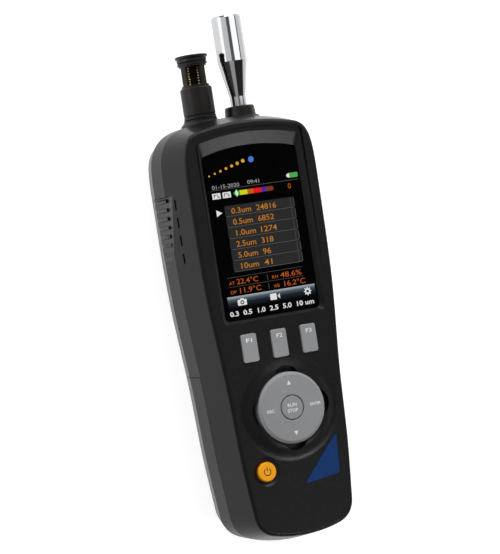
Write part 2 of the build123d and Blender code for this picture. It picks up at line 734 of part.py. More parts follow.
def battery_door(outer, hollow):
    lower = block(-60, 60, HEEL_Y - 20, SPLIT_Y - DOOR_GAP, -5, PARTING_Z - DOOR_GAP)
    door = (outer - hollow) & lower
    y = along(DOOR_SCREW_Y)
    boss_top = 2 * WALL
    door += post(0, y, DOOR_WALL / 2, boss_top, COUNTERBORE_R + 1.2)
    door -= post(0, y, -1, boss_top - 1.4, COUNTERBORE_R)
    door -= post(0, y, -1, boss_top + 1, SCREW_HOLE_R)
    return door


def battery_pack():
    width, length, height = PACK_SIZE
    low = TUB_FLOOR_Z - DOOR_GAP - height
    y = along(PACK_CENTRE)
    body = block(-width / 2, width / 2, y - length / 2, y + length / 2, low, low + height)
    body = fillet(body.edges().filter_by(Axis.Y), PACK_CORNER_R)
    groove = block(-0.8, 0.8, HEEL_Y, CROWN_Y, low + height - 1, low + height + 1)
    return body - groove - Pos(0, 0, 1 - height) * groove


def battery_pad():
    width, length, height = PACK_SIZE
    low = DOOR_WALL + SEAT_GAP
    high = TUB_FLOOR_Z - DOOR_GAP - height - SEAT_GAP
    return rounded_plate(0, along(PACK_CENTRE), width - 10, length - 10, low, high, 3)


def battery_contacts():
    width, thick, height = CONTACT_SIZE
    y = along(PACK_CENTRE) + PACK_SIZE[1] / 2 + SEAT_GAP
    middle = TUB_FLOOR_Z - 8
    shapes = []
    for k in (-1, 0, 1):
        x = k * CONTACT_PITCH
        strip = block(x - width / 2, x + width / 2, y, y + thick, middle - height / 2, middle + height / 2)
        shapes.append(strip)
    return Compound(shapes)


# ---------------------------------------------------------------- screws and bush
def screw(x, y, head_low, tip):
    head = post(x, y, head_low, head_low + SCREW_HEAD_HEIGHT, SCREW_HEAD_R)
    head -= block(x - 0.35, x + 0.35, y - 1.6, y + 1.6, head_low - 1, head_low + 0.8)
    head -= block(x - 1.6, x + 1.6, y - 0.35, y + 0.35, head_low - 1, head_low + 0.8)
    return head + post(x, y, head_low + SCREW_HEAD_HEIGHT, tip, SCREW_R - 0.02)


def housing_screws():
    tip = PARTING_Z + BOSS_REACH - 1
    shapes = []
    for side in SIDES:
        for (x, d), seat in ((CROWN_SCREW, CROWN_HEAD_Z), (HEEL_SCREW, TUB_FLOOR_Z)):
            shapes.append(screw(side * x, along(d), seat - SCREW_HEAD_HEIGHT, tip))
    return Compound(shapes)


def battery_door_screw():
    head_low = 2 * WALL - 1.4 - SCREW_HEAD_HEIGHT
    return screw(0, along(DOOR_SCREW_Y), head_low, TUB_FLOOR_Z - 5)


def board_screws():
    shapes = []
    for x, y in board_post_spots():
        head = post(x, y, BOARD_LOW_Z - 1.0, BOARD_LOW_Z, 1.7)
        shapes.append(head + post(x, y, BOARD_LOW_Z, BOARD_TOP_Z + 3, BOARD_SCREW_R - 0.02))
    return Compound(shapes)


def tripod_bush():
    y = along(BUSH_Y)
    bush = post(0, y, BUSH_SINK, BUSH_SINK + BUSH_LENGTH, BUSH_R)
    return bush - post(0, y, BUSH_SINK - 1, BUSH_SINK + TRIPOD_DEPTH, TRIPOD_CORE_R)


# ---------------------------------------------------------------- boards and camera
def main_board():
    plate = extrude(outline(BOARD_LOW_Z, 2.4, 1.5, 1.5, WALL + 1.0), BOARD_THICK, dir=(0, 0, 1))
    for x, y in screw_spots():
        plate -= post(x, y, BOARD_LOW_Z - 1, BOARD_TOP_Z + 1, BOSS_R + 0.4)
    for x, y in board_post_spots():
        plate -= post(x, y, BOARD_LOW_Z - 1, BOARD_TOP_Z + 1, BOARD_SCREW_R)
    return plate


def sounder():
    x, d = SOUNDER_POS
    high = BOARD_LOW_Z
    can = post(x, along(d), high - SOUNDER_HEIGHT, high, SOUNDER_R)
    return can - post(x, along(d), high - SOUNDER_HEIGHT - 1, high - SOUNDER_HEIGHT + 1, 1.0)


def camera_window():
    return post(0, along(CAMERA_Y), CAMERA_SINK, CAMERA_SINK + CAMERA_WINDOW_THICK, CAMERA_WINDOW_R)


def camera_module():
    y = along(CAMERA_Y)
    low = CAMERA_SINK + CAMERA_WINDOW_THICK + SEAT_GAP
    seat = CAMERA_SINK + CAMERA_WINDOW_THICK + CAMERA_SEAT
    half = CAMERA_BOARD / 2
    barrel = post(0, y, low, low + CAMERA_BARREL, CAMERA_BARREL_R) - post(0, y, low - 1, low + 1, 2.0)
    board = block(-half, half, y - half, y + half, seat, seat + CAMERA_BOARD_THICK)
    return barrel + board


# ---------------------------------------------------------------- sensors on the crown
GUIDE_BORE_R = CAGE_R + RUN_GAP
GUIDE_R = GUIDE_BORE_R + 1.0
GUIDE_LENGTH = 16.0
BASE_RING_R = SLEEVE_R + 0.35
FLARE_R = 9.3
FLARE_TOP_Y = CROWN_Y + 0.3
BASE_TOP_Y = CROWN_Y + BASE_RING_HEIGHT
SLEEVE_LOW_Y = BASE_TOP_Y + SEAT_GAP
SLEEVE_TOP_Y = SLEEVE_LOW_Y + SLEEVE_LENGTH
CAGE_TOP_Y = SLEEVE_TOP_Y + CAGE_OUT
WINDOW_TOP_Y = CAGE_TOP_Y - 5.0
WINDOW_LOW_Y = WINDOW_TOP_Y - WINDOW_LENGTH
STEM_END_Y = CROWN_Y - 5.0
SCREEN_R = 3.7
SCREEN_WALL = 0.5
COLLAR_BARREL_R = 5.6
COLLAR_BORE_R = NECK_R + 0.05
TIP_Y = CROWN_Y + NOZZLE_REACH
TAPER_TOP_Y = TIP_Y - NOZZLE_BARREL
TAPER_LOW_Y = TAPER_TOP_Y - NOZZLE_TAPER
SPIGOT_LOW_Y = CROWN_Y - 5.0
O_RING_Y = CROWN_Y + 1.0
O_RING_R = 0.7


def sensor_guide():
    low = CROWN_Y - GUIDE_LENGTH
    flange_high = PAD_FACE_Y - SEAT_GAP
    profile = [
        (GUIDE_BORE_R, low),
        (GUIDE_R, low),
        (GUIDE_R, flange_high - 1.4),
        (GUIDE_R + 1.6, flange_high - 1.4),
        (GUIDE_R + 1.6, flange_high),
        (GUIDE_R, flange_high),
        (GUIDE_R, FLARE_TOP_Y + SEAT_GAP),
        (BASE_RING_R, FLARE_TOP_Y + SEAT_GAP),
        (BASE_RING_R, BASE_TOP_Y - 0.9),
        (BASE_RING_R - 0.35, BASE_TOP_Y - 0.6),
        (BASE_RING_R, BASE_TOP_Y - 0.3),
        (BASE_RING_R - 0.3, BASE_TOP_Y),
        (GUIDE_BORE_R, BASE_TOP_Y),
    ]
    return turned_y(profile, HUMIDITY_X, SENSOR_Z)


def sensor_sleeve():
    profile = [
        (GUIDE_BORE_R, SLEEVE_LOW_Y),
        (SLEEVE_R, SLEEVE_LOW_Y),
        (SLEEVE_R, SLEEVE_LOW_Y + 0.8),
        (SLEEVE_R - 0.3, SLEEVE_LOW_Y + 1.1),
        (SLEEVE_R, SLEEVE_LOW_Y + 1.4),
        (SLEEVE_R, SLEEVE_TOP_Y - 0.5),
        (SLEEVE_R - 0.4, SLEEVE_TOP_Y),
        (GUIDE_BORE_R + 0.2, SLEEVE_TOP_Y),
        (GUIDE_BORE_R, SLEEVE_TOP_Y - 0.4),
    ]
    return turned_y(profile, HUMIDITY_X, SENSOR_Z)


def sensor_cage():
    bore = CAGE_R - CAGE_WALL
    web_high = WINDOW_LOW_Y - 0.4
    profile = [
        (bore, STEM_END_Y),
        (CAGE_R, STEM_END_Y),
        (CAGE_R, WINDOW_TOP_Y + 0.8),
        (CAGE_R + 0.6, WINDOW_TOP_Y + 0.8),
        (CAGE_R + 0.6, WINDOW_TOP_Y + 1.5),
        (CAGE_R + 0.2, WINDOW_TOP_Y + 1.9),
        (CAGE_R + 0.6, WINDOW_TOP_Y + 2.3),
        (CAGE_R + 0.5, CAGE_TOP_Y - CAP_THICK - 0.5),
        (CAP_R, CAGE_TOP_Y - CAP_THICK),
        (CAP_R, CAGE_TOP_Y - 0.3),
        (CAP_R - 0.3, CAGE_TOP_Y),
        (0, CAGE_TOP_Y),
        (0, WINDOW_TOP_Y + 1.0),
        (bore, WINDOW_TOP_Y + 1.0),
        (bore, web_high),
        (SCREEN_R - SCREEN_WALL - 0.4, web_high),
        (SCREEN_R - SCREEN_WALL - 0.4, web_high - 1.2),
        (bore, web_high - 1.2),
    ]
    cage = turned_y(profile, HUMIDITY_X, SENSOR_Z)
    for k in range(4):
        cage -= window_cut(WINDOW_TURN + 90 * k)
    return cage


def window_cut(angle):
    """Wedge between two bars of the cage, pointing away from its axis."""
    reach = 2 * CAGE_R
    half = math.radians(WINDOW_ANGLE / 2)
    corners = Polyline(
        (0, WINDOW_LOW_Y, 0),
        (-reach * math.tan(half), WINDOW_LOW_Y, reach),
        (reach * math.tan(half), WINDOW_LOW_Y, reach),
        close=True,
    )
    wedge = extrude(make_face(corners), WINDOW_LENGTH, dir=(0, 1, 0))
    keep = rod_y(0, WINDOW_LOW_Y - 1, WINDOW_TOP_Y + 1, 0, SCREEN_R + 0.4)
    return Pos(HUMIDITY_X, 0, SENSOR_Z) * Rot(0, angle, 0) * (wedge - keep)


def sensor_screen():
    low = WINDOW_LOW_Y - 0.4 + SEAT_GAP
    high = WINDOW_TOP_Y + 1.0 - SEAT_GAP
    return tube_y(HUMIDITY_X, low, high, SENSOR_Z, SCREEN_R, SCREEN_R - SCREEN_WALL)


def sensor_board():
    plate = block(-2.2, 2.2, STEM_END_Y, WINDOW_TOP_Y - 1, -0.5, 0.5)
    chip = block(-1.3, 1.3, WINDOW_LOW_Y + 3, WINDOW_LOW_Y + 6, 0.5, 1.4)
    return Pos(HUMIDITY_X, 0, SENSOR_Z) * (plate + chip)


def inlet_nozzle():
    bore = NOZZLE_R - NOZZLE_WALL
    profile = [
        (NECK_BORE_R, SPIGOT_LOW_Y),
        (NECK_R, SPIGOT_LOW_Y),
        (NECK_R, O_RING_Y - O_RING_R),
        (NECK_R - O_RING_R, O_RING_Y - O_RING_R),
        (NECK_R - O_RING_R, O_RING_Y + O_RING_R),
        (NECK_R, O_RING_Y + O_RING_R),
        (NECK_R, TAPER_LOW_Y),
        (NOZZLE_R, TAPER_TOP_Y),
        (NOZZLE_R, TIP_Y - 0.9),
        (NOZZLE_R - 0.3, TIP_Y - 0.25),
        (NOZZLE_R - 0.55, TIP_Y),
        (bore, TIP_Y),
        (bore, TAPER_TOP_Y),
        (NECK_BORE_R, TAPER_LOW_Y),
    ]
    return turned_y(profile, NOZZLE_X, SENSOR_Z)


def nozzle_o_ring():
    middle = NECK_R - O_RING_R / 2
    ring = Torus(middle, O_RING_R / 2 - 0.02)
    return Pos(NOZZLE_X, O_RING_Y, SENSOR_Z) * Rot(90, 0, 0) * ring


def nozzle_collar():
    barb_low = SPIGOT_LOW_Y - 2.0 - BARB_LENGTH
    nut_high = PAD_FACE_Y - SEAT_GAP
    profile = [
        (NECK_BORE_R, barb_low),
        (BARB_R, barb_low),
        (BARB_R, SPIGOT_LOW_Y - 2.0),
        (COLLAR_BARREL_R, SPIGOT_LOW_Y - 2.0),
        (COLLAR_BARREL_R + 1.8, SPIGOT_LOW_Y - 2.0),
        (COLLAR_BARREL_R + 1.8, nut_high),
        (COLLAR_BARREL_R, nut_high),
        (COLLAR_BARREL_R, FLARE_TOP_Y + SEAT_GAP),
        (COLLAR_FOOT_R, FLARE_TOP_Y + SEAT_GAP),
        (COLLAR_TOP_R + 0.3, CROWN_Y + COLLAR_HEIGHT - 0.5),
        (COLLAR_TOP_R - 0.2, CROWN_Y + COLLAR_HEIGHT),
        (COLLAR_BORE_R, CROWN_Y + COLLAR_HEIGHT),
        (COLLAR_BORE_R, SPIGOT_LOW_Y - SEAT_GAP),
        (NECK_BORE_R, SPIGOT_LOW_Y - SEAT_GAP),
    ]
    return turned_y(profile, NOZZLE_X, SENSOR_Z)


# ---------------------------------------------------------------- air path
CHAMBER_HIGH_Y = along(CHAMBER_Y) + CHAMBER_SIZE[1] / 2
CHAMBER_LOW_Y = along(CHAMBER_Y) - CHAMBER_SIZE[1] / 2
CHAMBER_LEFT = CHAMBER_X - CHAMBER_SIZE[0] / 2
CHAMBER_RIGHT = CHAMBER_X + CHAMBER_SIZE[0] / 2
PUMP_HEAD_HIGH_Y = along(PUMP_HEAD_Y) + PUMP_HEAD_SIZE[1] / 2
PUMP_HEAD_LOW_Y = along(PUMP_HEAD_Y) - PUMP_HEAD_SIZE[1] / 2


def optical_chamber():
    width, length, height = CHAMBER_SIZE
    y = along(CHAMBER_Y)
    body = Pos(CHAMBER_X, y, CHAMBER_Z) * Box(width, length, height)
    body = fillet(body.edges().filter_by(Axis.Z), 2)
    body += tube_y(NOZZLE_X, CHAMBER_HIGH_Y, CHAMBER_HIGH_Y + BARB_LENGTH, CHAMBER_Z, BARB_R, NECK_BORE_R)
    body += tube_y(NOZZLE_X, CHAMBER_LOW_Y - BARB_LENGTH, CHAMBER_LOW_Y, CHAMBER_Z, BARB_R, NECK_BORE_R)
    body += block(CHAMBER_X - 4, CHAMBER_X + 4, y - 8, y + 8, WALL, CHAMBER_Z - height / 2)
    reach = BARB_LENGTH + 1
    body -= rod_y(NOZZLE_X, CHAMBER_LOW_Y - reach, CHAMBER_HIGH_Y + reach, CHAMBER_Z, NECK_BORE_R)
    body -= rod_x(CHAMBER_LEFT - 1, CHAMBER_LEFT + LASER_SINK, y, CHAMBER_Z, LASER_R + FIT / 2)
    body -= rod_x(CHAMBER_LEFT, CHAMBER_RIGHT, y, CHAMBER_Z, 2.0)
    body -= rod_x(CHAMBER_RIGHT - TRAP_SINK, CHAMBER_RIGHT + 1, y, CHAMBER_Z, TRAP_R + FIT / 2)
    return body


def laser_module():
    end = CHAMBER_LEFT + LASER_SINK
    y = along(CHAMBER_Y)
    tube = rod_x(end - LASER_LENGTH, end - SEAT_GAP, y, CHAMBER_Z, LASER_R)
    return tube - rod_x(end - 1, end + 1, y, CHAMBER_Z, LASER_WINDOW_R)


def light_trap():
    start = CHAMBER_RIGHT - TRAP_SINK + SEAT_GAP
    y = along(CHAMBER_Y)
    cup = rod_x(start, start + TRAP_LENGTH, y, CHAMBER_Z, TRAP_R)
    return cup - rod_x(start - 1, start + TRAP_DEPTH, y, CHAMBER_Z, TRAP_BORE_R)


def photodetector_board():
    width, length, thick = DETECTOR_SIZE
    low = CHAMBER_Z + CHAMBER_SIZE[2] / 2
    plate = Pos(CHAMBER_X, along(CHAMBER_Y), low + thick / 2) * Box(width, length, thick)
    return plate + Pos(CHAMBER_X, along(CHAMBER_Y), low + thick + 0.9) * Box(8, 8, 1.8)


def inlet_tube():
    high = SPIGOT_LOW_Y - 2.0 - SEAT_GAP
    return tube_y(NOZZLE_X, CHAMBER_HIGH_Y + SEAT_GAP, high, SENSOR_Z, TUBE_R, TUBE_BORE_R)


def outlet_tube():
    low = PUMP_HEAD_HIGH_Y + SEAT_GAP
    return tube_y(NOZZLE_X, low, CHAMBER_LOW_Y - SEAT_GAP, CHAMBER_Z, TUBE_R, TUBE_BORE_R)


def pump_head():
    width, length, height = PUMP_HEAD_SIZE
    body = Pos(NOZZLE_X, along(PUMP_HEAD_Y), CHAMBER_Z) * Box(width, length, height)
    body = fillet(body.edges().filter_by(Axis.Y), 3)
    body += rod_y(NOZZLE_X, PUMP_HEAD_HIGH_Y, PUMP_HEAD_HIGH_Y + BARB_LENGTH, CHAMBER_Z, BARB_R)
    left = NOZZLE_X - width / 2
    body += rod_x(left - 4, left, along(PUMP_HEAD_Y), CHAMBER_Z, BARB_R)
    return body


def pump_motor():
    high = PUMP_HEAD_LOW_Y
    can = rod_y(NOZZLE_X, high - PUMP_MOTOR_LENGTH, high, CHAMBER_Z, PUMP_MOTOR_R)
    return chamfer(can.edges().filter_by(GeomType.CIRCLE), 0.8)


def pump_cradle():
    half = CRADLE_WIDTH / 2
    y = PUMP_HEAD_LOW_Y - PUMP_MOTOR_LENGTH / 2
    low = y - CRADLE_THICK / 2
    saddle = block(NOZZLE_X - half, NOZZLE_X + half, low, low + CRADLE_THICK, WALL, CHAMBER_Z - 5)
    return saddle - rod_y(NOZZLE_X, y - CRADLE_THICK, y + CRADLE_THICK, CHAMBER_Z, PUMP_MOTOR_R)


def exhaust_filter():
    x, d = FILTER_POS
    high = NOZZLE_X - PUMP_HEAD_SIZE[0] / 2 - 4 - SEAT_GAP
    body = rod_x(high - FILTER_LENGTH, high, along(d), CHAMBER_Z, FILTER_R)
    body += rod_x(high - FILTER_LENGTH - 4, high - FILTER_LENGTH, along(d), CHAMBER_Z, BARB_R)
    return body + block(high - FILTER_LENGTH + 3, high - 3, along(d) - 3, along(d) + 3, WALL, CHAMBER_Z)


def vent_mesh(side, hollow, inner):
    """Dust screen on the inside of the vent slots."""
    start = along(VENT_FIRST) - VENT_LENGTH / 2 - 1.5
    end = along(VENT_FIRST + (VENT_COUNT - 1) * VENT_PITCH) + VENT_LENGTH / 2 + 1.5
    x_low = 20 if side > 0 else -60
    window = block(x_low, x_low + 40, start, end, VENT_Z - 2.2, VENT_Z + 2.2)
    return (hollow - inner) & window


# ---------------------------------------------------------------- sockets behind the rubber cover
def port_bay(outer):
    low_x = COVER_FLOOR_X - BAY_DEPTH
    bay = block(low_x, 60, along(COVER_FROM) - 2, along(COVER_TO) + 2, COVER_LOW_Z - 2, COVER_HIGH_Z + 2)
    return bay & outer


def cover_window(grow, nail_gap, x_low):
    width = COVER_TO - COVER_FROM + 2 * grow
    low = COVER_LOW_Z - grow - nail_gap
    high = COVER_HIGH_Z + grow
    height = high - low
    y = along((COVER_FROM + COVER_TO) / 2)
    z = (low + high) / 2
    wall = Plane(origin=(x_low, y, z), x_dir=(0, 1, 0), z_dir=(1, 0, 0))
    return extrude(wall * RectangleRounded(width, height, COVER_CORNER_R), 20)


SOCKET_Z = (COVER_LOW_Z + COVER_HIGH_Z) / 2
USB_Y = along(COVER_FROM + 7)
CARD_Y = along(COVER_TO - 9.5)
CARD_Z = SOCKET_Z + 4.2
JACK_Y = along(COVER_TO - 12)
JACK_Z = SOCKET_Z - 2.4


def port_cuts():
    low = COVER_FLOOR_X - BAY_DEPTH - 1
    high = COVER_FLOOR_X + 1
    usb = block(low, high, USB_Y - USB_SIZE[0] / 2 - SOCKET_GAP, USB_Y + USB_SIZE[0] / 2 + SOCKET_GAP,
                SOCKET_Z - USB_SIZE[1] / 2 - SOCKET_GAP, SOCKET_Z + USB_SIZE[1] / 2 + SOCKET_GAP)
    card = block(low, high, CARD_Y - CARD_SIZE[0] / 2 - SOCKET_GAP, CARD_Y + CARD_SIZE[0] / 2 + SOCKET_GAP,
                 CARD_Z - CARD_SIZE[1] / 2 - SOCKET_GAP, CARD_Z + CARD_SIZE[1] / 2 + SOCKET_GAP)
    jack = rod_x(low, high, JACK_Y, JACK_Z, POWER_SOCKET_R + SOCKET_GAP)
    return [cover_window(COVER_GAP, COVER_NAIL_GAP, COVER_FLOOR_X), usb, card, jack]


def port_cover(outer):
    return outer & cover_window(0, 0, COVER_FLOOR_X + SEAT_GAP)


BOARD_FACE_X = COVER_FLOOR_X - BAY_DEPTH - 0.3


def port_board():
    low_y, high_y = along(COVER_FROM), along(COVER_TO)
    return block(BOARD_FACE_X - 1.2, BOARD_FACE_X, low_y, high_y, COVER_LOW_Z, COVER_HIGH_Z)


def usb_socket():
    width, height = USB_SIZE
    shell = block(BOARD_FACE_X, COVER_FLOOR_X - 0.3, USB_Y - width / 2, USB_Y + width / 2,
                  SOCKET_Z - height / 2, SOCKET_Z + height / 2)
    mouth = block(BOARD_FACE_X + 0.6, COVER_FLOOR_X, USB_Y - width / 2 + 0.4, USB_Y + width / 2 - 0.4,
                  SOCKET_Z - height / 2 + 0.4, SOCKET_Z + height / 2 - 0.4)
    tongue = block(BOARD_FACE_X + 0.6, COVER_FLOOR_X - 0.9, USB_Y - 2.4, USB_Y + 2.4,
                   SOCKET_Z - 0.4, SOCKET_Z + 0.4)
    return shell - mouth + tongue


def card_socket():
    width, height = CARD_SIZE
    shell = block(BOARD_FACE_X, COVER_FLOOR_X - 0.3, CARD_Y - width / 2, CARD_Y + width / 2,
                  CARD_Z - height / 2, CARD_Z + height / 2)
    mouth = block(BOARD_FACE_X + 0.6, COVER_FLOOR_X, CARD_Y - width / 2 + 0.5, CARD_Y + width / 2 - 0.5,
                  CARD_Z - 0.5, CARD_Z + 0.5)
    return shell - mouth


def power_socket():
    body = rod_x(BOARD_FACE_X, COVER_FLOOR_X - 0.3, JACK_Y, JACK_Z, POWER_SOCKET_R)
    body -= rod_x(BOARD_FACE_X + 0.6, COVER_FLOOR_X, JACK_Y, JACK_Z, POWER_SOCKET_BORE_R)
    return body + rod_x(BOARD_FACE_X, COVER_FLOOR_X - 0.9, JACK_Y, JACK_Z, 0.9)


# ---------------------------------------------------------------- build
outer_back = back_body()
inner_back = back_body(WALL, WALL)
door_hollow = back_body(DOOR_WALL, DOOR_WALL)
outer_front = front_body()
inner_front = front_body(WALL)
mesh_hollow = front_body(WALL + MESH_THICK)

save(front_shell(outer_front, inner_front), "front_shell")
save(back_shell(outer_back, inner_back), "back_shell")
save(battery_door(outer_back, door_hollow), "battery_door")
save(vent_mesh(-1, inner_front, mesh_hollow), "vent_mesh_left")
save(vent_mesh(1, inner_front, mesh_hollow), "vent_mesh_right")
save(port_cover(outer_back), "port_cover")

for number, key_x in enumerate(F_KEY_XS, start=1):
    save(f_key(key_x), f"f_key_{number}")

PIECES = {
    "display_lens": display_lens,
    "lcd_module": lcd_module,
    "corner_overlay": corner_overlay,
    "power_button": power_button,
    "direction_disc": direction_disc,
    "disc_rocker": disc_rocker,
    "run_stop_key": run_stop_key,
    "keypad_mat": keypad_mat,
    "dome_switches": dome_switches,
    "battery_pack": battery_pack,
    "battery_pad": battery_pad,
    "battery_contacts": battery_contacts,
    "battery_door_screw": battery_door_screw,
    "housing_screws": housing_screws,
    "board_screws": board_screws,
    "tripod_bush": tripod_bush,
    "main_board": main_board,
    "sounder": sounder,
    "camera_window": camera_window,
    "camera_module": camera_module,
    "sensor_guide": sensor_guide,
    "sensor_sleeve": sensor_sleeve,
    "sensor_cage": sensor_cage,
    "sensor_screen": sensor_screen,
    "sensor_board": sensor_board,
    "inlet_nozzle": inlet_nozzle,
    "nozzle_o_ring": nozzle_o_ring,
    "nozzle_collar": nozzle_collar,
    "inlet_tube": inlet_tube,
    "outlet_tube": outlet_tube,
    "optical_chamber": optical_chamber,
    "laser_module": laser_module,
    "light_trap": light_trap,
    "photodetector_board": photodetector_board,
    "pump_head": pump_head,
    "pump_motor": pump_motor,
    "pump_cradle": pump_cradle,
    "exhaust_filter": exhaust_filter,
    "port_board": port_board,
    "usb_socket": usb_socket,
    "card_socket": card_socket,
    "power_socket": power_socket,
}
for node, make in PIECES.items():
    save(make(), node)
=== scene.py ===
import json
import math

import bpy
from mathutils import Matrix, Vector


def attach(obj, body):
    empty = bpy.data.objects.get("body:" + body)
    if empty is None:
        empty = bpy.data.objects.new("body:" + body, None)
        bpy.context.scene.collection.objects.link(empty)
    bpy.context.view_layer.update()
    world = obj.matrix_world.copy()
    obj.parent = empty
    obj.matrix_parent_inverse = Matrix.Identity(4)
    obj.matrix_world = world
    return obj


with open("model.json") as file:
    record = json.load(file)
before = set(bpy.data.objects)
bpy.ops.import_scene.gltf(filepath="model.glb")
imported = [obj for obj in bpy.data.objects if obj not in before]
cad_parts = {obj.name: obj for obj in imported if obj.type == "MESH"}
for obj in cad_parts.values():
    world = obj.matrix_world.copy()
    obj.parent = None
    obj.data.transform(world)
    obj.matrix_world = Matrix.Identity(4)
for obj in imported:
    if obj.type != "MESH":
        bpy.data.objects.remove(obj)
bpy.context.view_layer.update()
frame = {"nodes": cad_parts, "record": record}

# Handheld airborne particle counter lying on its back, in metres. MM turns a drawing size into metres.
MM = 0.001

# places on the instrument, in millimetres
KEY_TOP_Z = 54.3            # function keys and power button
DISC_TOP_Z = 57.0           # direction disc and run/stop key
LENS_TOP_Z = 52.0
LENS_LOW_Z = 50.5
DISC_Y = -59.8
F_KEY_XS = (-14.6, 0.0, 14.6)
F_KEY_Y = -30.65
POWER_XY = (-15.5, -86.1)
HUMIDITY_X = -10.3          # axis of the humidity sensor
SENSOR_Z = 27.5
SCREEN_R = 3.7              # bead screen inside the sensor's cage
BEAD_R = 0.42
BEAD_PITCH = 1.22
BEADS_ALONG = 7
BEAD_SPREAD = 34.0          # degrees from a window's middle to a row of beads
WINDOW_TURN = -24.0         # degrees that the cage's windows are turned from the face
WINDOW_LOW_Y = 90.6
WINDOW_COUNT = 4
SLEEVE_R = 7.3              # twist sleeve of the sensor, and the pointer raised on it
MARK_X = 3.4
MARK_LOW_Y = 78.0
MARK_HIGH_Y = 86.5
MARK_HEAD = (-2.0, -2.9)    # from the pointer's tip to the end of its slanted head
MARK_HALF = 0.5             # half its stroke's width
MARK_PROUD = 0.3            # how far it stands out of the sleeve, and how far it is set in
BUSH_Y = -2.0
BUSH_SINK = 0.4
BUSH_CORE_R = 2.65
THREAD_PITCH = 1.27
THREAD_DEPTH = 7.5
THREAD_CREST = 0.3
THREAD_START = 0.5          # from the bush's mouth to the first turn

SINK = 0.015                # how far a print is set into what carries it


# ---------------------------------------------------------------- small helpers
def linear(code):
    """Linear colour of an sRGB hex value."""
    channels = [int(code[i:i + 2], 16) / 255 for i in (0, 2, 4)]
    return tuple(c / 12.92 if c <= 0.04045 else ((c + 0.055) / 1.055) ** 2.4 for c in channels) + (1.0,)


def add(tree, kind, inputs=None, **settings):
    """Adds a node. inputs maps a socket's name or number to a constant or to another node's output."""
    node = tree.nodes.new(kind)
    for name, value in settings.items():
        setattr(node, name, value)
    for key, value in (inputs or {}).items():
        if isinstance(value, bpy.types.NodeSocket):
            tree.links.new(value, node.inputs[key])
        else:
            node.inputs[key].default_value = value
    return node


MIX_A, MIX_B, MIX_COLOUR = 6, 7, 2      # the Mix node's colour sockets


def finish(name):
    """A new material with its Principled shader, its tree and the object's own coordinates."""
    material = bpy.data.materials.new(name)
    material.use_nodes = True
    tree = material.node_tree
    tree.nodes.clear()
    shader = add(tree, "ShaderNodeBsdfPrincipled")
    add(tree, "ShaderNodeOutputMaterial", {"Surface": shader.outputs["BSDF"]})
    place = add(tree, "ShaderNodeTexCoord").outputs["Object"]
    return material, tree, shader, place


# ---------------------------------------------------------------- finishes
def moulded(name, colour, other, gloss, grain, relief, specular=0.5):
    """Injection-moulded plastic or rubber. Spark-eroded grain breaks up its shine, and its colour and
    gloss drift a little over the piece. grain and relief are in millimetres."""
    material, tree, shader, place = finish(name)
    drift = add(tree, "ShaderNodeTexNoise", {"Vector": place, "Scale": 1 / (28 * MM), "Detail": 2.0})
    speck = add(tree, "ShaderNodeTexNoise", {"Vector": place, "Scale": 1 / (grain * MM), "Detail": 3.0})
    blend = add(tree, "ShaderNodeMath", {0: drift.outputs["Fac"], 1: speck.outputs["Fac"]},
                operation="MULTIPLY")
    share = add(tree, "ShaderNodeMapRange", {"Value": blend.outputs[0], "From Min": 0.12, "From Max": 0.40})
    tint = add(tree, "ShaderNodeMix", {0: share.outputs[0], MIX_A: linear(colour), MIX_B: linear(other)},
               data_type="RGBA")
    rough = add(tree, "ShaderNodeMapRange", {"Value": speck.outputs["Fac"], "From Min": 0.3, "From Max": 0.7,
                                             "To Min": gloss - 0.05, "To Max": gloss + 0.06})
    bump = add(tree, "ShaderNodeBump", {"Height": speck.outputs["Fac"], "Distance": relief * MM})
    tree.links.new(tint.outputs[MIX_COLOUR], shader.inputs["Base Color"])
    tree.links.new(rough.outputs[0], shader.inputs["Roughness"])
    tree.links.new(bump.outputs["Normal"], shader.inputs["Normal"])
    shader.inputs["IOR"].default_value = 1.53
    shader.inputs["Specular IOR Level"].default_value = specular
    return material


def metal(name, colour, other, gloss, line, relief, stretch=(1.0, 1.0, 1.0)):
    """Bare or plated metal. stretch draws the tool marks out along a direction, line is their width."""
    material, tree, shader, place = finish(name)
    turned = add(tree, "ShaderNodeMapping", {"Vector": place, "Scale": stretch})
    mark = add(tree, "ShaderNodeTexNoise", {"Vector": turned.outputs[0], "Scale": 1 / (line * MM),
                                            "Detail": 2.0})
    cloud = add(tree, "ShaderNodeTexNoise", {"Vector": place, "Scale": 1 / (6 * MM), "Detail": 2.0})
    tint = add(tree, "ShaderNodeMix", {0: cloud.outputs["Fac"], MIX_A: linear(colour), MIX_B: linear(other)},
               data_type="RGBA")
    rough = add(tree, "ShaderNodeMapRange", {"Value": mark.outputs["Fac"], "From Min": 0.3, "From Max": 0.7,
                                             "To Min": gloss * 0.7, "To Max": gloss * 1.4})
    bump = add(tree, "ShaderNodeBump", {"Height": mark.outputs["Fac"], "Distance": relief * MM})
    tree.links.new(tint.outputs[MIX_COLOUR], shader.inputs["Base Color"])
    tree.links.new(rough.outputs[0], shader.inputs["Roughness"])
    tree.links.new(bump.outputs["Normal"], shader.inputs["Normal"])
    shader.inputs["Metallic"].default_value = 1.0
    return material


def clear_glass(name, tone):
    """Hard-coated cover glass, with the faintest smears in its gloss."""
    material, tree, shader, place = finish(name)
    smear = add(tree, "ShaderNodeTexNoise", {"Vector": place, "Scale": 1 / (9 * MM), "Detail": 3.0})
    rough = add(tree, "ShaderNodeMapRange", {"Value": smear.outputs["Fac"], "From Min": 0.4, "From Max": 0.8,
                                             "To Min": 0.01, "To Max": 0.03})
    tree.links.new(rough.outputs[0], shader.inputs["Roughness"])
    shader.inputs["Base Color"].default_value = linear(tone)
    shader.inputs["Transmission Weight"].default_value = 1.0
    shader.inputs["IOR"].default_value = 1.50
    return material


PIXEL = 0.36                # display pixels, drawn twice their real size so that they can show


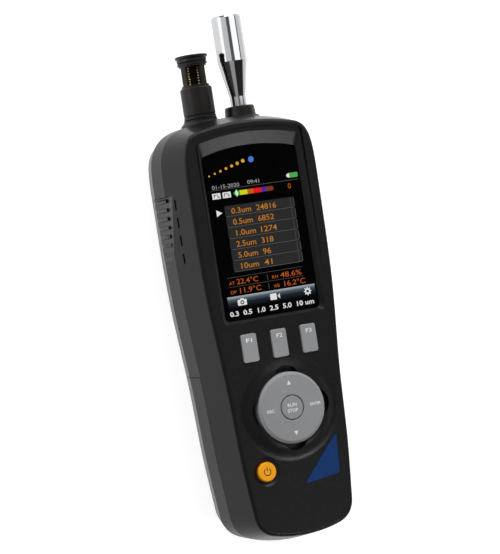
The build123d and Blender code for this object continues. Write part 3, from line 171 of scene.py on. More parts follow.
def lit(name, colour, strength=1.0):
    """Glowing dots of a colour display: their grid dims the light a little between the dots."""
    material, tree, shader, place = finish(name)
    grid = add(tree, "ShaderNodeTexBrick", {"Vector": place, "Scale": 1 / (PIXEL * MM), "Mortar Size": 0.06,
                                            "Brick Width": 1.0, "Row Height": 1.0,
                                            "Color1": linear(colour), "Color2": linear(colour)}, offset=0.0)
    dim = [channel * 0.82 for channel in linear(colour)[:3]] + [1.0]
    grid.inputs["Mortar"].default_value = dim
    tree.links.new(grid.outputs["Color"], shader.inputs["Emission Color"])
    shader.inputs["Emission Strength"].default_value = strength
    shader.inputs["Base Color"].default_value = linear("030303")
    shader.inputs["Specular IOR Level"].default_value = 0.0
    return material


def lit_ramp(name, stops, low_y, high_y):
    """Glowing strip whose colour changes along Y, as a soft-key bar does."""
    material, tree, shader, place = finish(name)
    height = add(tree, "ShaderNodeSeparateXYZ", {0: place}).outputs["Y"]
    share = add(tree, "ShaderNodeMapRange", {"Value": height, "From Min": low_y * MM,
                                             "From Max": high_y * MM})
    ramp = add(tree, "ShaderNodeValToRGB", {0: share.outputs[0]})
    elements = ramp.color_ramp.elements
    for element, (position, colour) in zip(elements, (stops[0], stops[-1])):
        element.position, element.color = position, linear(colour)
    for position, colour in stops[1:-1]:
        elements.new(position).color = linear(colour)
    tree.links.new(ramp.outputs["Color"], shader.inputs["Emission Color"])
    shader.inputs["Emission Strength"].default_value = 1.0
    shader.inputs["Base Color"].default_value = linear("030303")
    shader.inputs["Specular IOR Level"].default_value = 0.0
    return material


def woven_cloth(name, colour, other, pitch):
    """Open filter mesh or wrap: fine threads crossing at right angles."""
    material, tree, shader, place = finish(name)
    weave = add(tree, "ShaderNodeTexBrick", {"Vector": place, "Scale": 1 / (pitch * MM), "Mortar Size": 0.18,
                                             "Brick Width": 1.0, "Row Height": 1.0,
                                             "Color1": linear(colour), "Color2": linear(colour),
                                             "Mortar": linear(other)}, offset=0.5)
    bump = add(tree, "ShaderNodeBump", {"Height": weave.outputs["Fac"], "Distance": 0.1 * pitch * MM})
    tree.links.new(weave.outputs["Color"], shader.inputs["Base Color"])
    tree.links.new(bump.outputs["Normal"], shader.inputs["Normal"])
    shader.inputs["Roughness"].default_value = 0.75
    return material


HOUSING_BLACK = moulded("moulded_abs_black", "0a0a0b", "0f0f10", 0.32, 0.55, 0.008, 0.22)
BACK_BLACK = moulded("moulded_abs_back", "0d0d0e", "121213", 0.36, 0.55, 0.010, 0.2)
KEY_GREY = moulded("silicone_key_grey", "858688", "8f9092", 0.56, 0.5, 0.02, 0.35)
POWER_AMBER = moulded("silicone_key_amber", "f5a000", "fbad08", 0.45, 0.5, 0.015, 0.2)
CORNER_BLUE = moulded("printed_film_blue", "002c62", "02346e", 0.42, 0.4, 0.006, 0.15)
RUBBER_BLACK = moulded("rubber_black", "131313", "191919", 0.62, 0.45, 0.02, 0.4)
RUBBER_GREY = moulded("silicone_rubber_grey", "6a6c70", "737579", 0.62, 0.5, 0.02, 0.4)
SENSOR_BLACK = moulded("moulded_nylon_black", "100e0c", "181512", 0.38, 0.5, 0.012, 0.25)
PART_BLACK = moulded("moulded_part_black", "18181a", "202022", 0.5, 0.4, 0.012)
CHAMBER_BLACK = moulded("anodised_black", "19191b", "232326", 0.4, 0.3, 0.008)
FOAM_BLACK = moulded("cell_foam_black", "141414", "232323", 0.92, 0.8, 0.25, 0.2)
PACK_WRAP = moulded("shrink_wrap_blue", "1c3c78", "25488a", 0.32, 0.9, 0.02)
FILTER_WHITE = moulded("sintered_filter_white", "dcdcd6", "eaeae4", 0.8, 0.6, 0.05, 0.3)
TUBE_CLEAR = moulded("silicone_tube", "cfcfc8", "dcdcd6", 0.35, 1.2, 0.01)
LEGEND_WHITE = moulded("screen_ink_white", "dadada", "ececec", 0.5, 0.3, 0.004, 0.3)
LEGEND_BROWN = moulded("screen_ink_brown", "4a2a08", "5a350c", 0.5, 0.3, 0.004, 0.3)
LEGEND_AMBER = moulded("screen_ink_amber", "d29a1c", "dca427", 0.5, 0.3, 0.004, 0.3)
LEGEND_BLUE = moulded("screen_ink_blue", "2f6ec4", "3d7cd0", 0.5, 0.3, 0.004, 0.3)
LENS_BACK = moulded("back_print_black", "010101", "020202", 0.7, 0.3, 0.002, 0.0)
BOARD_GREEN = moulded("solder_mask_green", "15512f", "1d653c", 0.35, 1.6, 0.02)

NOZZLE_STEEL = metal("polished_stainless", "b4b5b7", "bebfc1", 0.06, 0.35, 0.0006, (0.02, 1.0, 0.02))
SCREEN_GOLD = metal("gold_plated_beads", "e0c888", "efdca6", 0.34, 0.3, 0.004)
# painted shade: the sensor's gold screen is coloured near-black for the shade between its wires inside the
# cage, and the gold beads stand for its lit knuckles
SCREEN_PAINTED_SHADE = metal("gauze_painted_shade", "0d0a05", "1a140a", 0.45, 0.25, 0.02)
SCREW_STEEL = metal("zinc_plated_steel", "9a9b9d", "a9abad", 0.28, 0.25, 0.002)
LCD_METAL = metal("tinned_frame", "8a8c90", "999b9f", 0.34, 0.4, 0.002)
CONTACT_METAL = metal("gold_flashed_spring", "c8a24a", "d4b05c", 0.25, 0.3, 0.002)
BUSH_BRASS = metal("turned_brass", "b9974c", "c8a85e", 0.27, 0.25, 0.003, (1.0, 1.0, 0.05))
LASER_BRASS = metal("turned_brass_laser", "b08f45", "c0a056", 0.3, 0.25, 0.003, (0.05, 1.0, 1.0))
MOTOR_STEEL = metal("drawn_steel_can", "a3a5a8", "b2b4b7", 0.3, 0.4, 0.002, (1.0, 0.05, 1.0))
SOCKET_STEEL = metal("stamped_socket_steel", "b4b6b8", "c2c4c6", 0.24, 0.3, 0.001)

DISPLAY_GLASS = clear_glass("cover_glass", "fafafa")
CAMERA_GLASS = clear_glass("camera_window_glass", "8a94a6")
MESH_DARK = woven_cloth("vent_gauze", "26282b", "0c0c0d", 0.5)

GLOW_AMBER = lit("display_amber", "bf7a26")
GLOW_ORANGE = lit("display_orange", "bb551f")
GLOW_WHITE = lit("display_white", "e6e6e6")
GLOW_GREY = lit("display_grey", "a4a4a4")
GLOW_DIM = lit("display_dim_row", "2b2b2b")
GLOW_LINE = lit("display_row_line", "5c5c5c")
GLOW_GREEN = lit("display_battery_green", "4fb052")
SOFTKEY_LOW_Y, SOFTKEY_HIGH_Y = -12.4, -7.1
SOFTKEY_STOPS = ((0.0, "000000"), (0.45, "1b242c"), (0.75, "4c5862"), (1.0, "a9b4bc"))
GLOW_BAR = lit_ramp("display_softkey_bar", SOFTKEY_STOPS, SOFTKEY_LOW_Y, SOFTKEY_HIGH_Y)
SCALE_COLOURS = ("22b02a", "d8dc18", "c86414", "f01818", "5a2a9a", "7a3a1c")
GLOW_SCALE = [lit(f"display_scale_{k + 1}", colour) for k, colour in enumerate(SCALE_COLOURS)]

SLOT_FINISH = {
    "housing": HOUSING_BLACK,
    "housing_back": BACK_BLACK,
    "key_grey": KEY_GREY,
    "power_amber": POWER_AMBER,
    "overlay_blue": CORNER_BLUE,
    "display_glass": DISPLAY_GLASS,
    "lcd_metal": LCD_METAL,
    "rubber_black": RUBBER_BLACK,
    "rubber_grey": RUBBER_GREY,
    "mesh_dark": MESH_DARK,
    "contact_metal": CONTACT_METAL,
    "pack_wrap": PACK_WRAP,
    "foam_black": FOAM_BLACK,
    "screw_steel": SCREW_STEEL,
    "bush_brass": BUSH_BRASS,
    "board_green": BOARD_GREEN,
    "part_black": PART_BLACK,
    "camera_glass": CAMERA_GLASS,
    "sensor_black": SENSOR_BLACK,
    # the gold screen takes the near-black finish, which is painted shade inside the cage
    "screen_gold": SCREEN_PAINTED_SHADE,
    "nozzle_steel": NOZZLE_STEEL,
    "tube_silicone": TUBE_CLEAR,
    "chamber_black": CHAMBER_BLACK,
    "laser_brass": LASER_BRASS,
    "motor_steel": MOTOR_STEEL,
    "filter_white": FILTER_WHITE,
    "socket_steel": SOCKET_STEEL,
}


def dress_nodes():
    """Gives every solid of the instrument its finish."""
    for part in frame["record"]["subparts"]:
        piece = frame["nodes"][part["node"]]
        for held in piece.material_slots:
            held.material = SLOT_FINISH[part["material_slot"]]
        if not piece.material_slots:
            piece.data.materials.append(SLOT_FINISH[part["material_slot"]])


# ---------------------------------------------------------------- flat prints
def slab(points, low, high):
    """A thin plate over a closed outline, given anticlockwise in millimetres."""
    count = len(points)
    corners = [(x * MM, y * MM, z * MM) for z in (low, high) for x, y in points]
    faces = [tuple(reversed(range(count))), tuple(range(count, 2 * count))]
    faces += [(k, (k + 1) % count, count + (k + 1) % count, count + k) for k in range(count)]
    mesh = bpy.data.meshes.new("plate")
    mesh.from_pydata(corners, [], faces)
    return mesh


def bar(x_low, x_high, y_low, y_high):
    return [(x_low, y_low), (x_high, y_low), (x_high, y_high), (x_low, y_high)]


def round_bar(x_low, x_high, y_low, y_high, radius, steps=6):
    """Outline of a bar with rounded corners."""
    centres = [(x_high - radius, y_low + radius, -90), (x_high - radius, y_high - radius, 0),
               (x_low + radius, y_high - radius, 90), (x_low + radius, y_low + radius, 180)]
    points = []
    for x, y, start in centres:
        for k in range(steps + 1):
            turn = math.radians(start + 90 * k / steps)
            points.append((x + radius * math.cos(turn), y + radius * math.sin(turn)))
    return points


def spot(x, y, radius, steps=24):
    return [(x + radius * math.cos(2 * math.pi * k / steps), y + radius * math.sin(2 * math.pi * k / steps))
            for k in range(steps)]


def band(x, y, inner, outer, start, end, low, high, steps=28):
    """Part of a flat ring, from one angle to another in degrees."""
    full = end - start >= 360
    turns = [math.radians(start + (end - start) * k / steps) for k in range(steps if full else steps + 1)]
    corners = [((x + r * math.cos(t)) * MM, (y + r * math.sin(t)) * MM, z * MM)
               for t in turns for r, z in ((inner, low), (outer, low), (outer, high), (inner, high))]
    faces = []
    count = len(turns)
    for k in range(count if full else count - 1):
        here, there = 4 * k, 4 * ((k + 1) % count)
        faces += [(here + s, there + s, there + (s + 1) % 4, here + (s + 1) % 4) for s in range(4)]
    if not full:
        last = 4 * (count - 1)
        faces += [(0, 1, 2, 3), (last + 3, last + 2, last + 1, last)]
    mesh = bpy.data.meshes.new("ring")
    mesh.from_pydata(corners, [], faces)
    return mesh


def words(text, x, y, height, low, high, align="CENTER", width=None, bold=0.0):
    """Lettering as a thin solid. height is that of a capital; width squeezes or stretches the line."""
    curve = bpy.data.curves.new("line", "FONT")
    curve.body = text
    curve.size = height * MM / 0.7          # a capital of the built-in face is 0.7 of its size
    curve.align_x = align
    curve.offset = bold * MM
    curve.extrude = (high - low) / 2 * MM
    curve.resolution_u = 3
    carrier = bpy.data.objects.new("line", curve)
    bpy.context.scene.collection.objects.link(carrier)
    bpy.context.view_layer.update()
    mesh = bpy.data.meshes.new_from_object(carrier.evaluated_get(bpy.context.evaluated_depsgraph_get()))
    bpy.data.objects.remove(carrier)
    mesh.materials.clear()
    if width:
        xs = [v.co.x for v in mesh.vertices]
        mesh.transform(Matrix.Diagonal((width * MM / (max(xs) - min(xs)), 1, 1, 1)))
    mesh.transform(Matrix.Translation((x * MM, (y - height / 2) * MM, (low + high) / 2 * MM)))
    return mesh


def piece(name, meshes, material, body, slot):
    """Joins meshes into one named piece that rides on a body."""
    joined = bpy.data.meshes.new(name)
    corners, faces = [], []
    for mesh in meshes:
        start = len(corners)
        corners += [tuple(v.co) for v in mesh.vertices]
        faces += [tuple(start + v for v in polygon.vertices) for polygon in mesh.polygons]
        bpy.data.meshes.remove(mesh)
    joined.from_pydata(corners, [], faces)
    joined.materials.append(material)
    made = bpy.data.objects.new(name, joined)
    bpy.context.scene.collection.objects.link(made)
    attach(made, body)
    return made


# ---------------------------------------------------------------- key legends
def key_legends():
    low, high = KEY_TOP_Z - SINK, KEY_TOP_Z + SINK
    for k, x in enumerate(F_KEY_XS):
        name = words(f"F{k + 1}", x + 0.2, F_KEY_Y + 3.5, 1.75, low, high, width=2.9, bold=0.03)
        piece(f"legend_f{k + 1}", [name], LEGEND_WHITE, f"key_f{k + 1}", "key_grey")
    low, high = DISC_TOP_Z - SINK, DISC_TOP_Z + SINK
    arrow = 0.95
    up = slab([(-arrow, DISC_Y + 10.3), (arrow, DISC_Y + 10.3), (0, DISC_Y + 12.3)], low, high)
    down = slab([(-arrow, DISC_Y - 10.5), (0, DISC_Y - 12.5), (arrow, DISC_Y - 10.5)], low, high)
    escape = words("ESC", -10.6, DISC_Y, 1.35, low, high, width=3.7, bold=0.03)
    enter = words("ENTER", 11.3, DISC_Y, 1.25, low, high, width=5.2, bold=0.03)
    piece("legend_disc", [up, down, escape, enter], LEGEND_WHITE, "disc", "key_grey")
    run = words("RUN", 0, DISC_Y + 1.25, 1.5, low, high, width=4.4, bold=0.03)
    stop = words("STOP", 0, DISC_Y - 1.25, 1.5, low, high, width=5.0, bold=0.03)
    piece("legend_run_stop", [run, stop], LEGEND_WHITE, "key_run_stop", "key_grey")
    x, y = POWER_XY
    low, high = KEY_TOP_Z - SINK, KEY_TOP_Z + SINK
    ring = band(x, y, 1.35, 1.8, 125, 415, low, high)
    stroke = slab(bar(x - 0.22, x + 0.22, y + 0.4, y + 2.2), low, high)
    piece("legend_power", [ring, stroke], LEGEND_BROWN, "key_power", "power_amber")


# ---------------------------------------------------------------- display
BACK_LOW = LENS_LOW_Z + 0.01
CONTENT_LOW = LENS_LOW_Z + 0.03     # the picture is bonded to the back of the cover glass
LAYER = 0.02


def shown(name, meshes, material):
    """A piece of the display's picture, or of the print on its cover glass."""
    return piece(name, meshes, material, "housing", "display_glass")


def layer(k):
    """Bottom and top of one layer of the picture; higher layers lie in front."""
    return CONTENT_LOW + k * LAYER, CONTENT_LOW + k * LAYER + 0.75 * LAYER


def glass_back():
    """Black print on the back of the cover glass, following its arched outline."""
    half, low, crown, drop, corner = 22.9, -17.5, 58.7, 3.2, 1.8
    radius = (half**2 + drop**2) / (2 * drop)
    sweep = math.asin(half / radius)
    points = [(-half + corner, low), (half - corner, low), (half, low + corner)]
    steps = 24
    for k in range(steps + 1):
        turn = sweep * (1 - 2 * k / steps)
        points.append((radius * math.sin(turn), crown - radius + radius * math.cos(turn)))
    points.append((-half, low + corner))
    shown("display_back_print", [slab(points, BACK_LOW, BACK_LOW + 0.015)], LENS_BACK)


def status_line():
    low, high = layer(1)
    date = words("01-15-2020", -13.1, 42.0, 1.7, low, high, width=13.2)
    clock = words("09:41", 0.7, 42.45, 1.7, low, high, width=5.8)
    shown("display_status", [date, clock], GLOW_GREY)
    rule = slab(bar(-20.4, 22.6, 40.6, 40.78), low, high)
    shown("display_rule", [rule], GLOW_LINE)
    cell = slab(round_bar(18.6, 22.6, 41.75, 43.95, 0.3), low, high)
    shown("display_battery", [cell], GLOW_GREEN)
    tip = slab([(16.9, 42.85), (17.3, 42.2), (18.5, 41.75), (18.5, 43.95), (17.3, 43.5)], low, high)
    shown("display_battery_end", [tip], GLOW_WHITE)


LABEL_XS = (-18.2, -13.2)   # middles of the two white labels beside the colour scale


def scale_line():
    low, high = layer(1)
    boxes = [slab(bar(x - 2.0, x + 2.0, 36.75, 39.35), low, high) for x in LABEL_XS]
    shown("display_labels", boxes, GLOW_WHITE)
    low, high = layer(2)
    marks = []
    for x in LABEL_XS:
        marks.append(slab(bar(x - 1.3, x - 0.9, 37.3, 38.8), low, high))
        marks.append(slab(bar(x - 0.9, x + 0.1, 38.4, 38.8), low, high))
        marks.append(slab(bar(x + 0.5, x + 0.9, 37.3, 38.8), low, high))
        marks.append(slab(bar(x + 0.9, x + 1.5, 37.3, 37.7), low, high))
    shown("display_label_marks", marks, GLOW_LINE)
    low, high = layer(1)
    edges = (-9.4, -6.7, -3.1, -0.1, 3.75, 6.4, 9.6)
    bottom, top, middle = 37.2, 39.3, 38.25
    for k, glow in enumerate(GLOW_SCALE):
        if k == 0:
            outline = [(-10.0, middle), (-9.0, bottom), (edges[1], bottom), (edges[1], top), (-9.0, top)]
        elif k == len(GLOW_SCALE) - 1:
            outline = [(edges[k], bottom), (9.2, bottom), (9.8, bottom + 0.6), (9.8, top - 0.6), (9.2, top),
                       (edges[k], top)]
        else:
            outline = bar(edges[k], edges[k + 1], bottom, top)
        shown(f"display_scale_step_{k + 1}", [slab(outline, low, high)], glow)
    low, high = layer(2)
    x = -8.3
    pointer = slab([(x, middle - 1.75), (x + 0.8, middle), (x, middle + 1.75), (x - 0.8, middle)], low, high)
    shown("display_scale_pointer", [pointer], GLOW_WHITE)
    count = words("0", 17.75, 38.15, 2.4, low, high, width=1.5)
    shown("display_alarm_count", [count], GLOW_ORANGE)


TABLE_LEFT, TABLE_RIGHT = -15.3, 18.85
TABLE_TOP, TABLE_PITCH = 33.15, 4.95
CHANNELS = (("0.3um", "24816"), ("0.5um", "6852"), ("1.0um", "1274"),
            ("2.5um", "318"), ("5.0um", "96"), ("10um", "41"))
TABLE_TEXT = 2.5            # height of the table's letters
FIGURE_WIDTH = 1.95


def count_table():
    rows, lines, names = [], [], []
    for k, (size, count) in enumerate(CHANNELS):
        top = TABLE_TOP - k * TABLE_PITCH
        foot = top - TABLE_PITCH
        low, high = layer(1)
        rows.append(slab(round_bar(TABLE_LEFT, TABLE_RIGHT, foot + 0.15, top, 0.6), low, high))
        low, high = layer(2)
        lines.append(slab(bar(TABLE_LEFT + 0.4, TABLE_RIGHT - 0.4, foot + 0.12, foot + 0.34), low, high))
        lines.append(slab(bar(TABLE_RIGHT - 0.22, TABLE_RIGHT, foot + 0.6, top - 0.4), low, high))
        lines.append(slab(bar(TABLE_RIGHT - 1.8, TABLE_RIGHT - 1.65, foot + 0.6, top - 0.4), low, high))
        low, high = layer(3)
        middle = (top + foot) / 2
        size_width = 8.6 if len(size) < 5 else 9.6
        names.append(words(size, TABLE_LEFT + 3.0, middle, TABLE_TEXT, low, high, "LEFT", size_width, 0.02))
        names.append(words(count, TABLE_LEFT + 15.2, middle, TABLE_TEXT, low, high, "LEFT",
                           FIGURE_WIDTH * len(count), 0.02))
    shown("display_rows", rows, GLOW_DIM)
    shown("display_row_lines", lines, GLOW_LINE)
    shown("display_counts", names, GLOW_AMBER)
    low, high = layer(1)
    pointer = slab([(-19.4, 28.9), (-16.6, 30.4), (-19.4, 31.9)], low, high)
    shown("display_row_pointer", [pointer], GLOW_WHITE)


READINGS = (
    ("AT", -17.2, "22.4°C", -9.6, -0.75),
    ("RH", 3.9, "48.6%", 11.9, -0.85),
    ("DP", -17.1, "11.9°C", -9.0, -4.85),
    ("WB", 4.1, "16.2°C", 12.8, -4.95),
)


def readings():
    low, high = layer(1)
    small = [words(name, x, y - 0.35, 1.45, low, high, width=2.8, bold=0.01) for name, x, _, _, y in READINGS]
    large = [words(value, x, y, 2.35, low, high, width=10.4, bold=0.01) for _, _, value, x, y in READINGS]
    shown("display_reading_names", small, GLOW_ORANGE)
    shown("display_reading_values", large, GLOW_ORANGE)
    rules = [slab(bar(-19.2, 17.8, y, y + 0.12), low, high) for y in (1.3, -2.85)]
    ticks = [slab(bar(0.2, 0.36, y - 1.3, y + 1.3), low, high) for y in (-0.8, -4.9)]
    shown("display_reading_rules", rules + ticks, GLOW_LINE)


def softkey_bar():
    low, high = layer(1)
    shown("display_softkey_bar", [slab(bar(-20.6, 22.6, SOFTKEY_LOW_Y, SOFTKEY_HIGH_Y), low, high)], GLOW_BAR)
    low, high = layer(2)
    camera_x, y = -13.7, -9.95
    x = camera_x
    camera_mark = [slab(round_bar(x - 2.2, x + 2.2, y - 1.5, y + 1.1, 0.3), low, high),
                   slab(bar(x - 0.9, x + 0.9, y + 1.1, y + 1.6), low, high)]
    x = 2.3
    film = [slab(round_bar(x - 2.2, x + 1.0, y - 1.4, y + 1.4, 0.3), low, high),
            slab([(x + 1.4, y), (x + 2.6, y - 1.2), (x + 2.6, y + 1.2)], low, high)]
    x = 18.75
    gear = [band(x, y, 0.65, 1.35, 0, 360, low, high)]
    teeth = 8
    for k in range(teeth):
        turn = 2 * math.pi * k / teeth
        tooth = [(1.25, -0.3), (1.85, -0.24), (1.85, 0.24), (1.25, 0.3)]
        cos, sin = math.cos(turn), math.sin(turn)
        gear.append(slab([(x + r * cos - s * sin, y + r * sin + s * cos) for r, s in tooth], low, high))
    shown("display_softkey_icons", camera_mark + film + gear, GLOW_WHITE)
    low, high = layer(3)
    lens = [band(camera_x, y - 0.2, 0.45, 0.95, 0, 360, low, high)]
    shown("display_camera_icon_lens", lens, GLOW_DIM)


def glass_prints():
    """Printing on the front of the cover glass: the channel sizes, and a rising row of dots."""
    low, high = LENS_TOP_Z - SINK, LENS_TOP_Z + SINK
    scale = words("0.3  0.5  1.0  2.5  5.0  10 um", 0, -14.7, 2.1, low, high, width=41.5, bold=0.07)
    shown("glass_channel_sizes", [scale], LEGEND_WHITE)
    dots = []
    count = 7
    for k in range(count):
        share = k / (count - 1)
        dots.append(slab(spot(-20.6 + 17.2 * share, 47.2 + 4.9 * share, 0.42 + 0.42 * share), low, high))
    shown("glass_amber_dots", dots, LEGEND_AMBER)
    shown("glass_blue_dot", [slab(spot(0.6, 52.3, 1.35, 32), low, high)], LEGEND_BLUE)


# ---------------------------------------------------------------- repeated small forms, by geometry nodes
def node_group(name, inputs):
    """An empty geometry tree with named inputs. Returns it with its input node and the sockets."""
    tree = bpy.data.node_groups.new(name, "GeometryNodeTree")
    sockets = {}
    for label, kind in inputs:
        sockets[label] = tree.interface.new_socket(name=label, in_out="INPUT", socket_type=kind)
    tree.interface.new_socket(name="Geometry", in_out="OUTPUT", socket_type="NodeSocketGeometry")
    return tree, add(tree, "NodeGroupInput"), sockets


def grown(name, tree, sockets, values, body):
    """Evaluates a geometry tree to a plain mesh that rides on a body."""
    seed = bpy.data.objects.new(name + ".seed", bpy.data.meshes.new(name + ".seed"))
    bpy.context.scene.collection.objects.link(seed)
    modifier = seed.modifiers.new("grow", "NODES")
    modifier.node_group = tree
    for label, value in values.items():
        modifier[sockets[label].identifier] = value
    bpy.context.view_layer.update()
    mesh = bpy.data.meshes.new_from_object(seed.evaluated_get(bpy.context.evaluated_depsgraph_get()))
    seed.modifiers.remove(modifier)
    bpy.data.objects.remove(seed)
    mesh.name = name
    made = bpy.data.objects.new(name, mesh)
    bpy.context.scene.collection.objects.link(made)
    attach(made, body)
    return made


def bead_screen():
    """Two rows of gold beads behind each window of the sensor's cage."""
    tree, given, sockets = node_group("bead_rows", (
        ("Radius", "NodeSocketFloat"), ("Turn", "NodeSocketFloat"), ("Spread", "NodeSocketFloat"),
        ("Pitch", "NodeSocketFloat"), ("Rows", "NodeSocketInt"), ("Bead", "NodeSocketFloat"),
        ("Finish", "NodeSocketMaterial")))
    ring = add(tree, "GeometryNodeMeshCircle", {"Vertices": WINDOW_COUNT,
                                                "Radius": given.outputs["Radius"]})
    both = add(tree, "GeometryNodeJoinGeometry")
    for operation in ("ADD", "SUBTRACT"):
        place = add(tree, "ShaderNodeMath", {0: given.outputs["Turn"], 1: given.outputs["Spread"]},
                    operation=operation)
        turn = add(tree, "ShaderNodeCombineXYZ", {"Z": place.outputs[0]})
        turned = add(tree, "GeometryNodeTransform", {"Geometry": ring.outputs["Mesh"],
                                                     "Rotation": turn.outputs[0]})
        tree.links.new(turned.outputs["Geometry"], both.inputs["Geometry"])
    step = add(tree, "ShaderNodeCombineXYZ", {"Z": given.outputs["Pitch"]})
    column = add(tree, "GeometryNodeMeshLine", {"Count": given.outputs["Rows"], "Offset": step.outputs[0]})
    spread = add(tree, "GeometryNodeInstanceOnPoints", {"Points": column.outputs["Mesh"],
                                                       "Instance": both.outputs["Geometry"]})
    spots = add(tree, "GeometryNodeRealizeInstances", {"Geometry": spread.outputs["Instances"]})
    bead = add(tree, "GeometryNodeMeshIcoSphere", {"Radius": given.outputs["Bead"], "Subdivisions": 2})
    beads = add(tree, "GeometryNodeInstanceOnPoints", {"Points": spots.outputs["Geometry"],
                                                      "Instance": bead.outputs["Mesh"]})
    foot = (HUMIDITY_X * MM, WINDOW_LOW_Y * MM, SENSOR_Z * MM)
    laid = add(tree, "GeometryNodeTransform", {"Geometry": beads.outputs["Instances"],
                                               "Rotation": (math.radians(-90), 0, 0), "Translation": foot})
    real = add(tree, "GeometryNodeRealizeInstances", {"Geometry": laid.outputs["Geometry"]})
    done = add(tree, "GeometryNodeSetMaterial", {"Geometry": real.outputs["Geometry"],
                                                 "Material": given.outputs["Finish"]})
    add(tree, "NodeGroupOutput", {"Geometry": done.outputs["Geometry"]})
    return grown("sensor_bead_rows", tree, sockets,
                 {"Radius": SCREEN_R * MM, "Turn": math.radians(WINDOW_TURN),
                  "Spread": math.radians(BEAD_SPREAD),
                  "Pitch": BEAD_PITCH * MM, "Rows": BEADS_ALONG, "Bead": BEAD_R * MM, "Finish": SCREEN_GOLD},
                 "cage")


def sleeve_mark():
    """Raised pointer on the twist sleeve: a stripe with a slanted head, bent round the sleeve."""
    strokes = (((MARK_X, MARK_LOW_Y), (MARK_X, MARK_HIGH_Y)),
               ((MARK_X, MARK_HIGH_Y), (MARK_X + MARK_HEAD[0], MARK_HIGH_Y + MARK_HEAD[1])))
    parts = 4
    low, high = SLEEVE_R - MARK_PROUD, SLEEVE_R + MARK_PROUD
    corners, faces = [], []
    for (x0, y0), (x1, y1) in strokes:
        length = math.hypot(x1 - x0, y1 - y0)
        across = ((y1 - y0) / length * MARK_HALF, (x0 - x1) / length * MARK_HALF)
        start = len(corners)
        for k in range(parts + 1):
            x, y = x0 + (x1 - x0) * k / parts, y0 + (y1 - y0) * k / parts
            for side, radius in ((-1, low), (1, low), (1, high), (-1, high)):
                turn = (x + side * across[0]) / SLEEVE_R
                corners.append(((HUMIDITY_X + radius * math.sin(turn)) * MM, (y + side * across[1]) * MM,
                                (SENSOR_Z + radius * math.cos(turn)) * MM))
        for k in range(parts):
            here, there = start + 4 * k, start + 4 * (k + 1)
            faces += [(here + s, here + (s + 1) % 4, there + (s + 1) % 4, there + s) for s in range(4)]
        last = start + 4 * parts
        faces += [(start + 3, start + 2, start + 1, start), (last, last + 1, last + 2, last + 3)]
    mesh = bpy.data.meshes.new("pointer")
    mesh.from_pydata(corners, [], faces)
    piece("sleeve_pointer", [mesh], SENSOR_BLACK, "sleeve", "sensor_black")


def bush_thread():
    """Crests of the camera thread inside the tripod bush."""
    tree, given, sockets = node_group("thread_crest", (
        ("Radius", "NodeSocketFloat"), ("Turns", "NodeSocketFloat"), ("Depth", "NodeSocketFloat"),
        ("Crest", "NodeSocketFloat"), ("Finish", "NodeSocketMaterial")))
    helix = add(tree, "GeometryNodeCurveSpiral", {"Resolution": 24, "Rotations": given.outputs["Turns"],
                                                  "Start Radius": given.outputs["Radius"],
                                                  "End Radius": given.outputs["Radius"],
                                                  "Height": given.outputs["Depth"]})
    edge = add(tree, "GeometryNodeCurvePrimitiveCircle", {"Resolution": 6,
                                                            "Radius": given.outputs["Crest"]})
    crest = add(tree, "GeometryNodeCurveToMesh", {"Curve": helix.outputs["Curve"],
                                                  "Profile Curve": edge.outputs["Curve"], "Fill Caps": True})
    mouth = (0, BUSH_Y * MM, (BUSH_SINK + THREAD_START) * MM)
    laid = add(tree, "GeometryNodeTransform", {"Geometry": crest.outputs["Mesh"], "Translation": mouth})
    real = add(tree, "GeometryNodeRealizeInstances", {"Geometry": laid.outputs["Geometry"]})
    done = add(tree, "GeometryNodeSetMaterial", {"Geometry": real.outputs["Geometry"],
                                                 "Material": given.outputs["Finish"]})
    add(tree, "NodeGroupOutput", {"Geometry": done.outputs["Geometry"]})
    return grown("bush_thread", tree, sockets,
                 {"Radius": BUSH_CORE_R * MM, "Turns": THREAD_DEPTH / THREAD_PITCH, "Depth": THREAD_DEPTH * MM,
                  "Crest": THREAD_CREST * MM, "Finish": BUSH_BRASS}, "housing")


# ---------------------------------------------------------------- studio
def studio():
    """A white table under soft panels, in a room of bright and dark fields."""
    half, top = 3.0, -0.0001
    table = bpy.data.meshes.new("table")
    corners = [(-half, -half, top), (half, -half, top), (half, half, top), (-half, half, top)]
    table.from_pydata(corners, [], [(0, 1, 2, 3)])
    floor = bpy.data.objects.new("table", table)
    bpy.context.scene.collection.objects.link(floor)
    material = bpy.data.materials.new("white_table")
    material.use_nodes = True
    tree = material.node_tree
    tree.nodes.clear()
    rays = add(tree, "ShaderNodeLightPath")
    seen = add(tree, "ShaderNodeMath", {0: rays.outputs["Is Camera Ray"], 1: rays.outputs["Is Glossy Ray"]},
               operation="MAXIMUM")
    seen = add(tree, "ShaderNodeMath", {0: seen.outputs[0], 1: rays.outputs["Is Transmission Ray"]},
               operation="MAXIMUM")
    paper = add(tree, "ShaderNodeBsdfDiffuse", {"Color": linear("c8c8c8")})
    glow = add(tree, "ShaderNodeEmission", {"Color": (1, 1, 1, 1), "Strength": 0.80})
    lifted = add(tree, "ShaderNodeAddShader", {0: paper.outputs[0], 1: glow.outputs[0]})
    mixed = add(tree, "ShaderNodeMixShader", {0: seen.outputs[0], 1: paper.outputs[0],
                                              2: lifted.outputs[0]})
    add(tree, "ShaderNodeOutputMaterial", {"Surface": mixed.outputs[0]})
    table.materials.append(material)

    for name, place, aim, side, size, power, beam in PANELS:
        lamp = bpy.data.lights.new(name, "AREA")
        lamp.shape = "RECTANGLE"
        lamp.size, lamp.size_y = size
        lamp.energy = power
        lamp.spread = math.radians(beam)
        holder = bpy.data.objects.new(name, lamp)
        bpy.context.scene.collection.objects.link(holder)
        back = (Vector(place) - Vector(aim)).normalized()
        up = back.cross(Vector(side)).normalized()
        turn = Matrix((up.cross(back), up, back)).transposed().to_4x4()
        holder.matrix_world = Matrix.Translation(place) @ turn
    room()


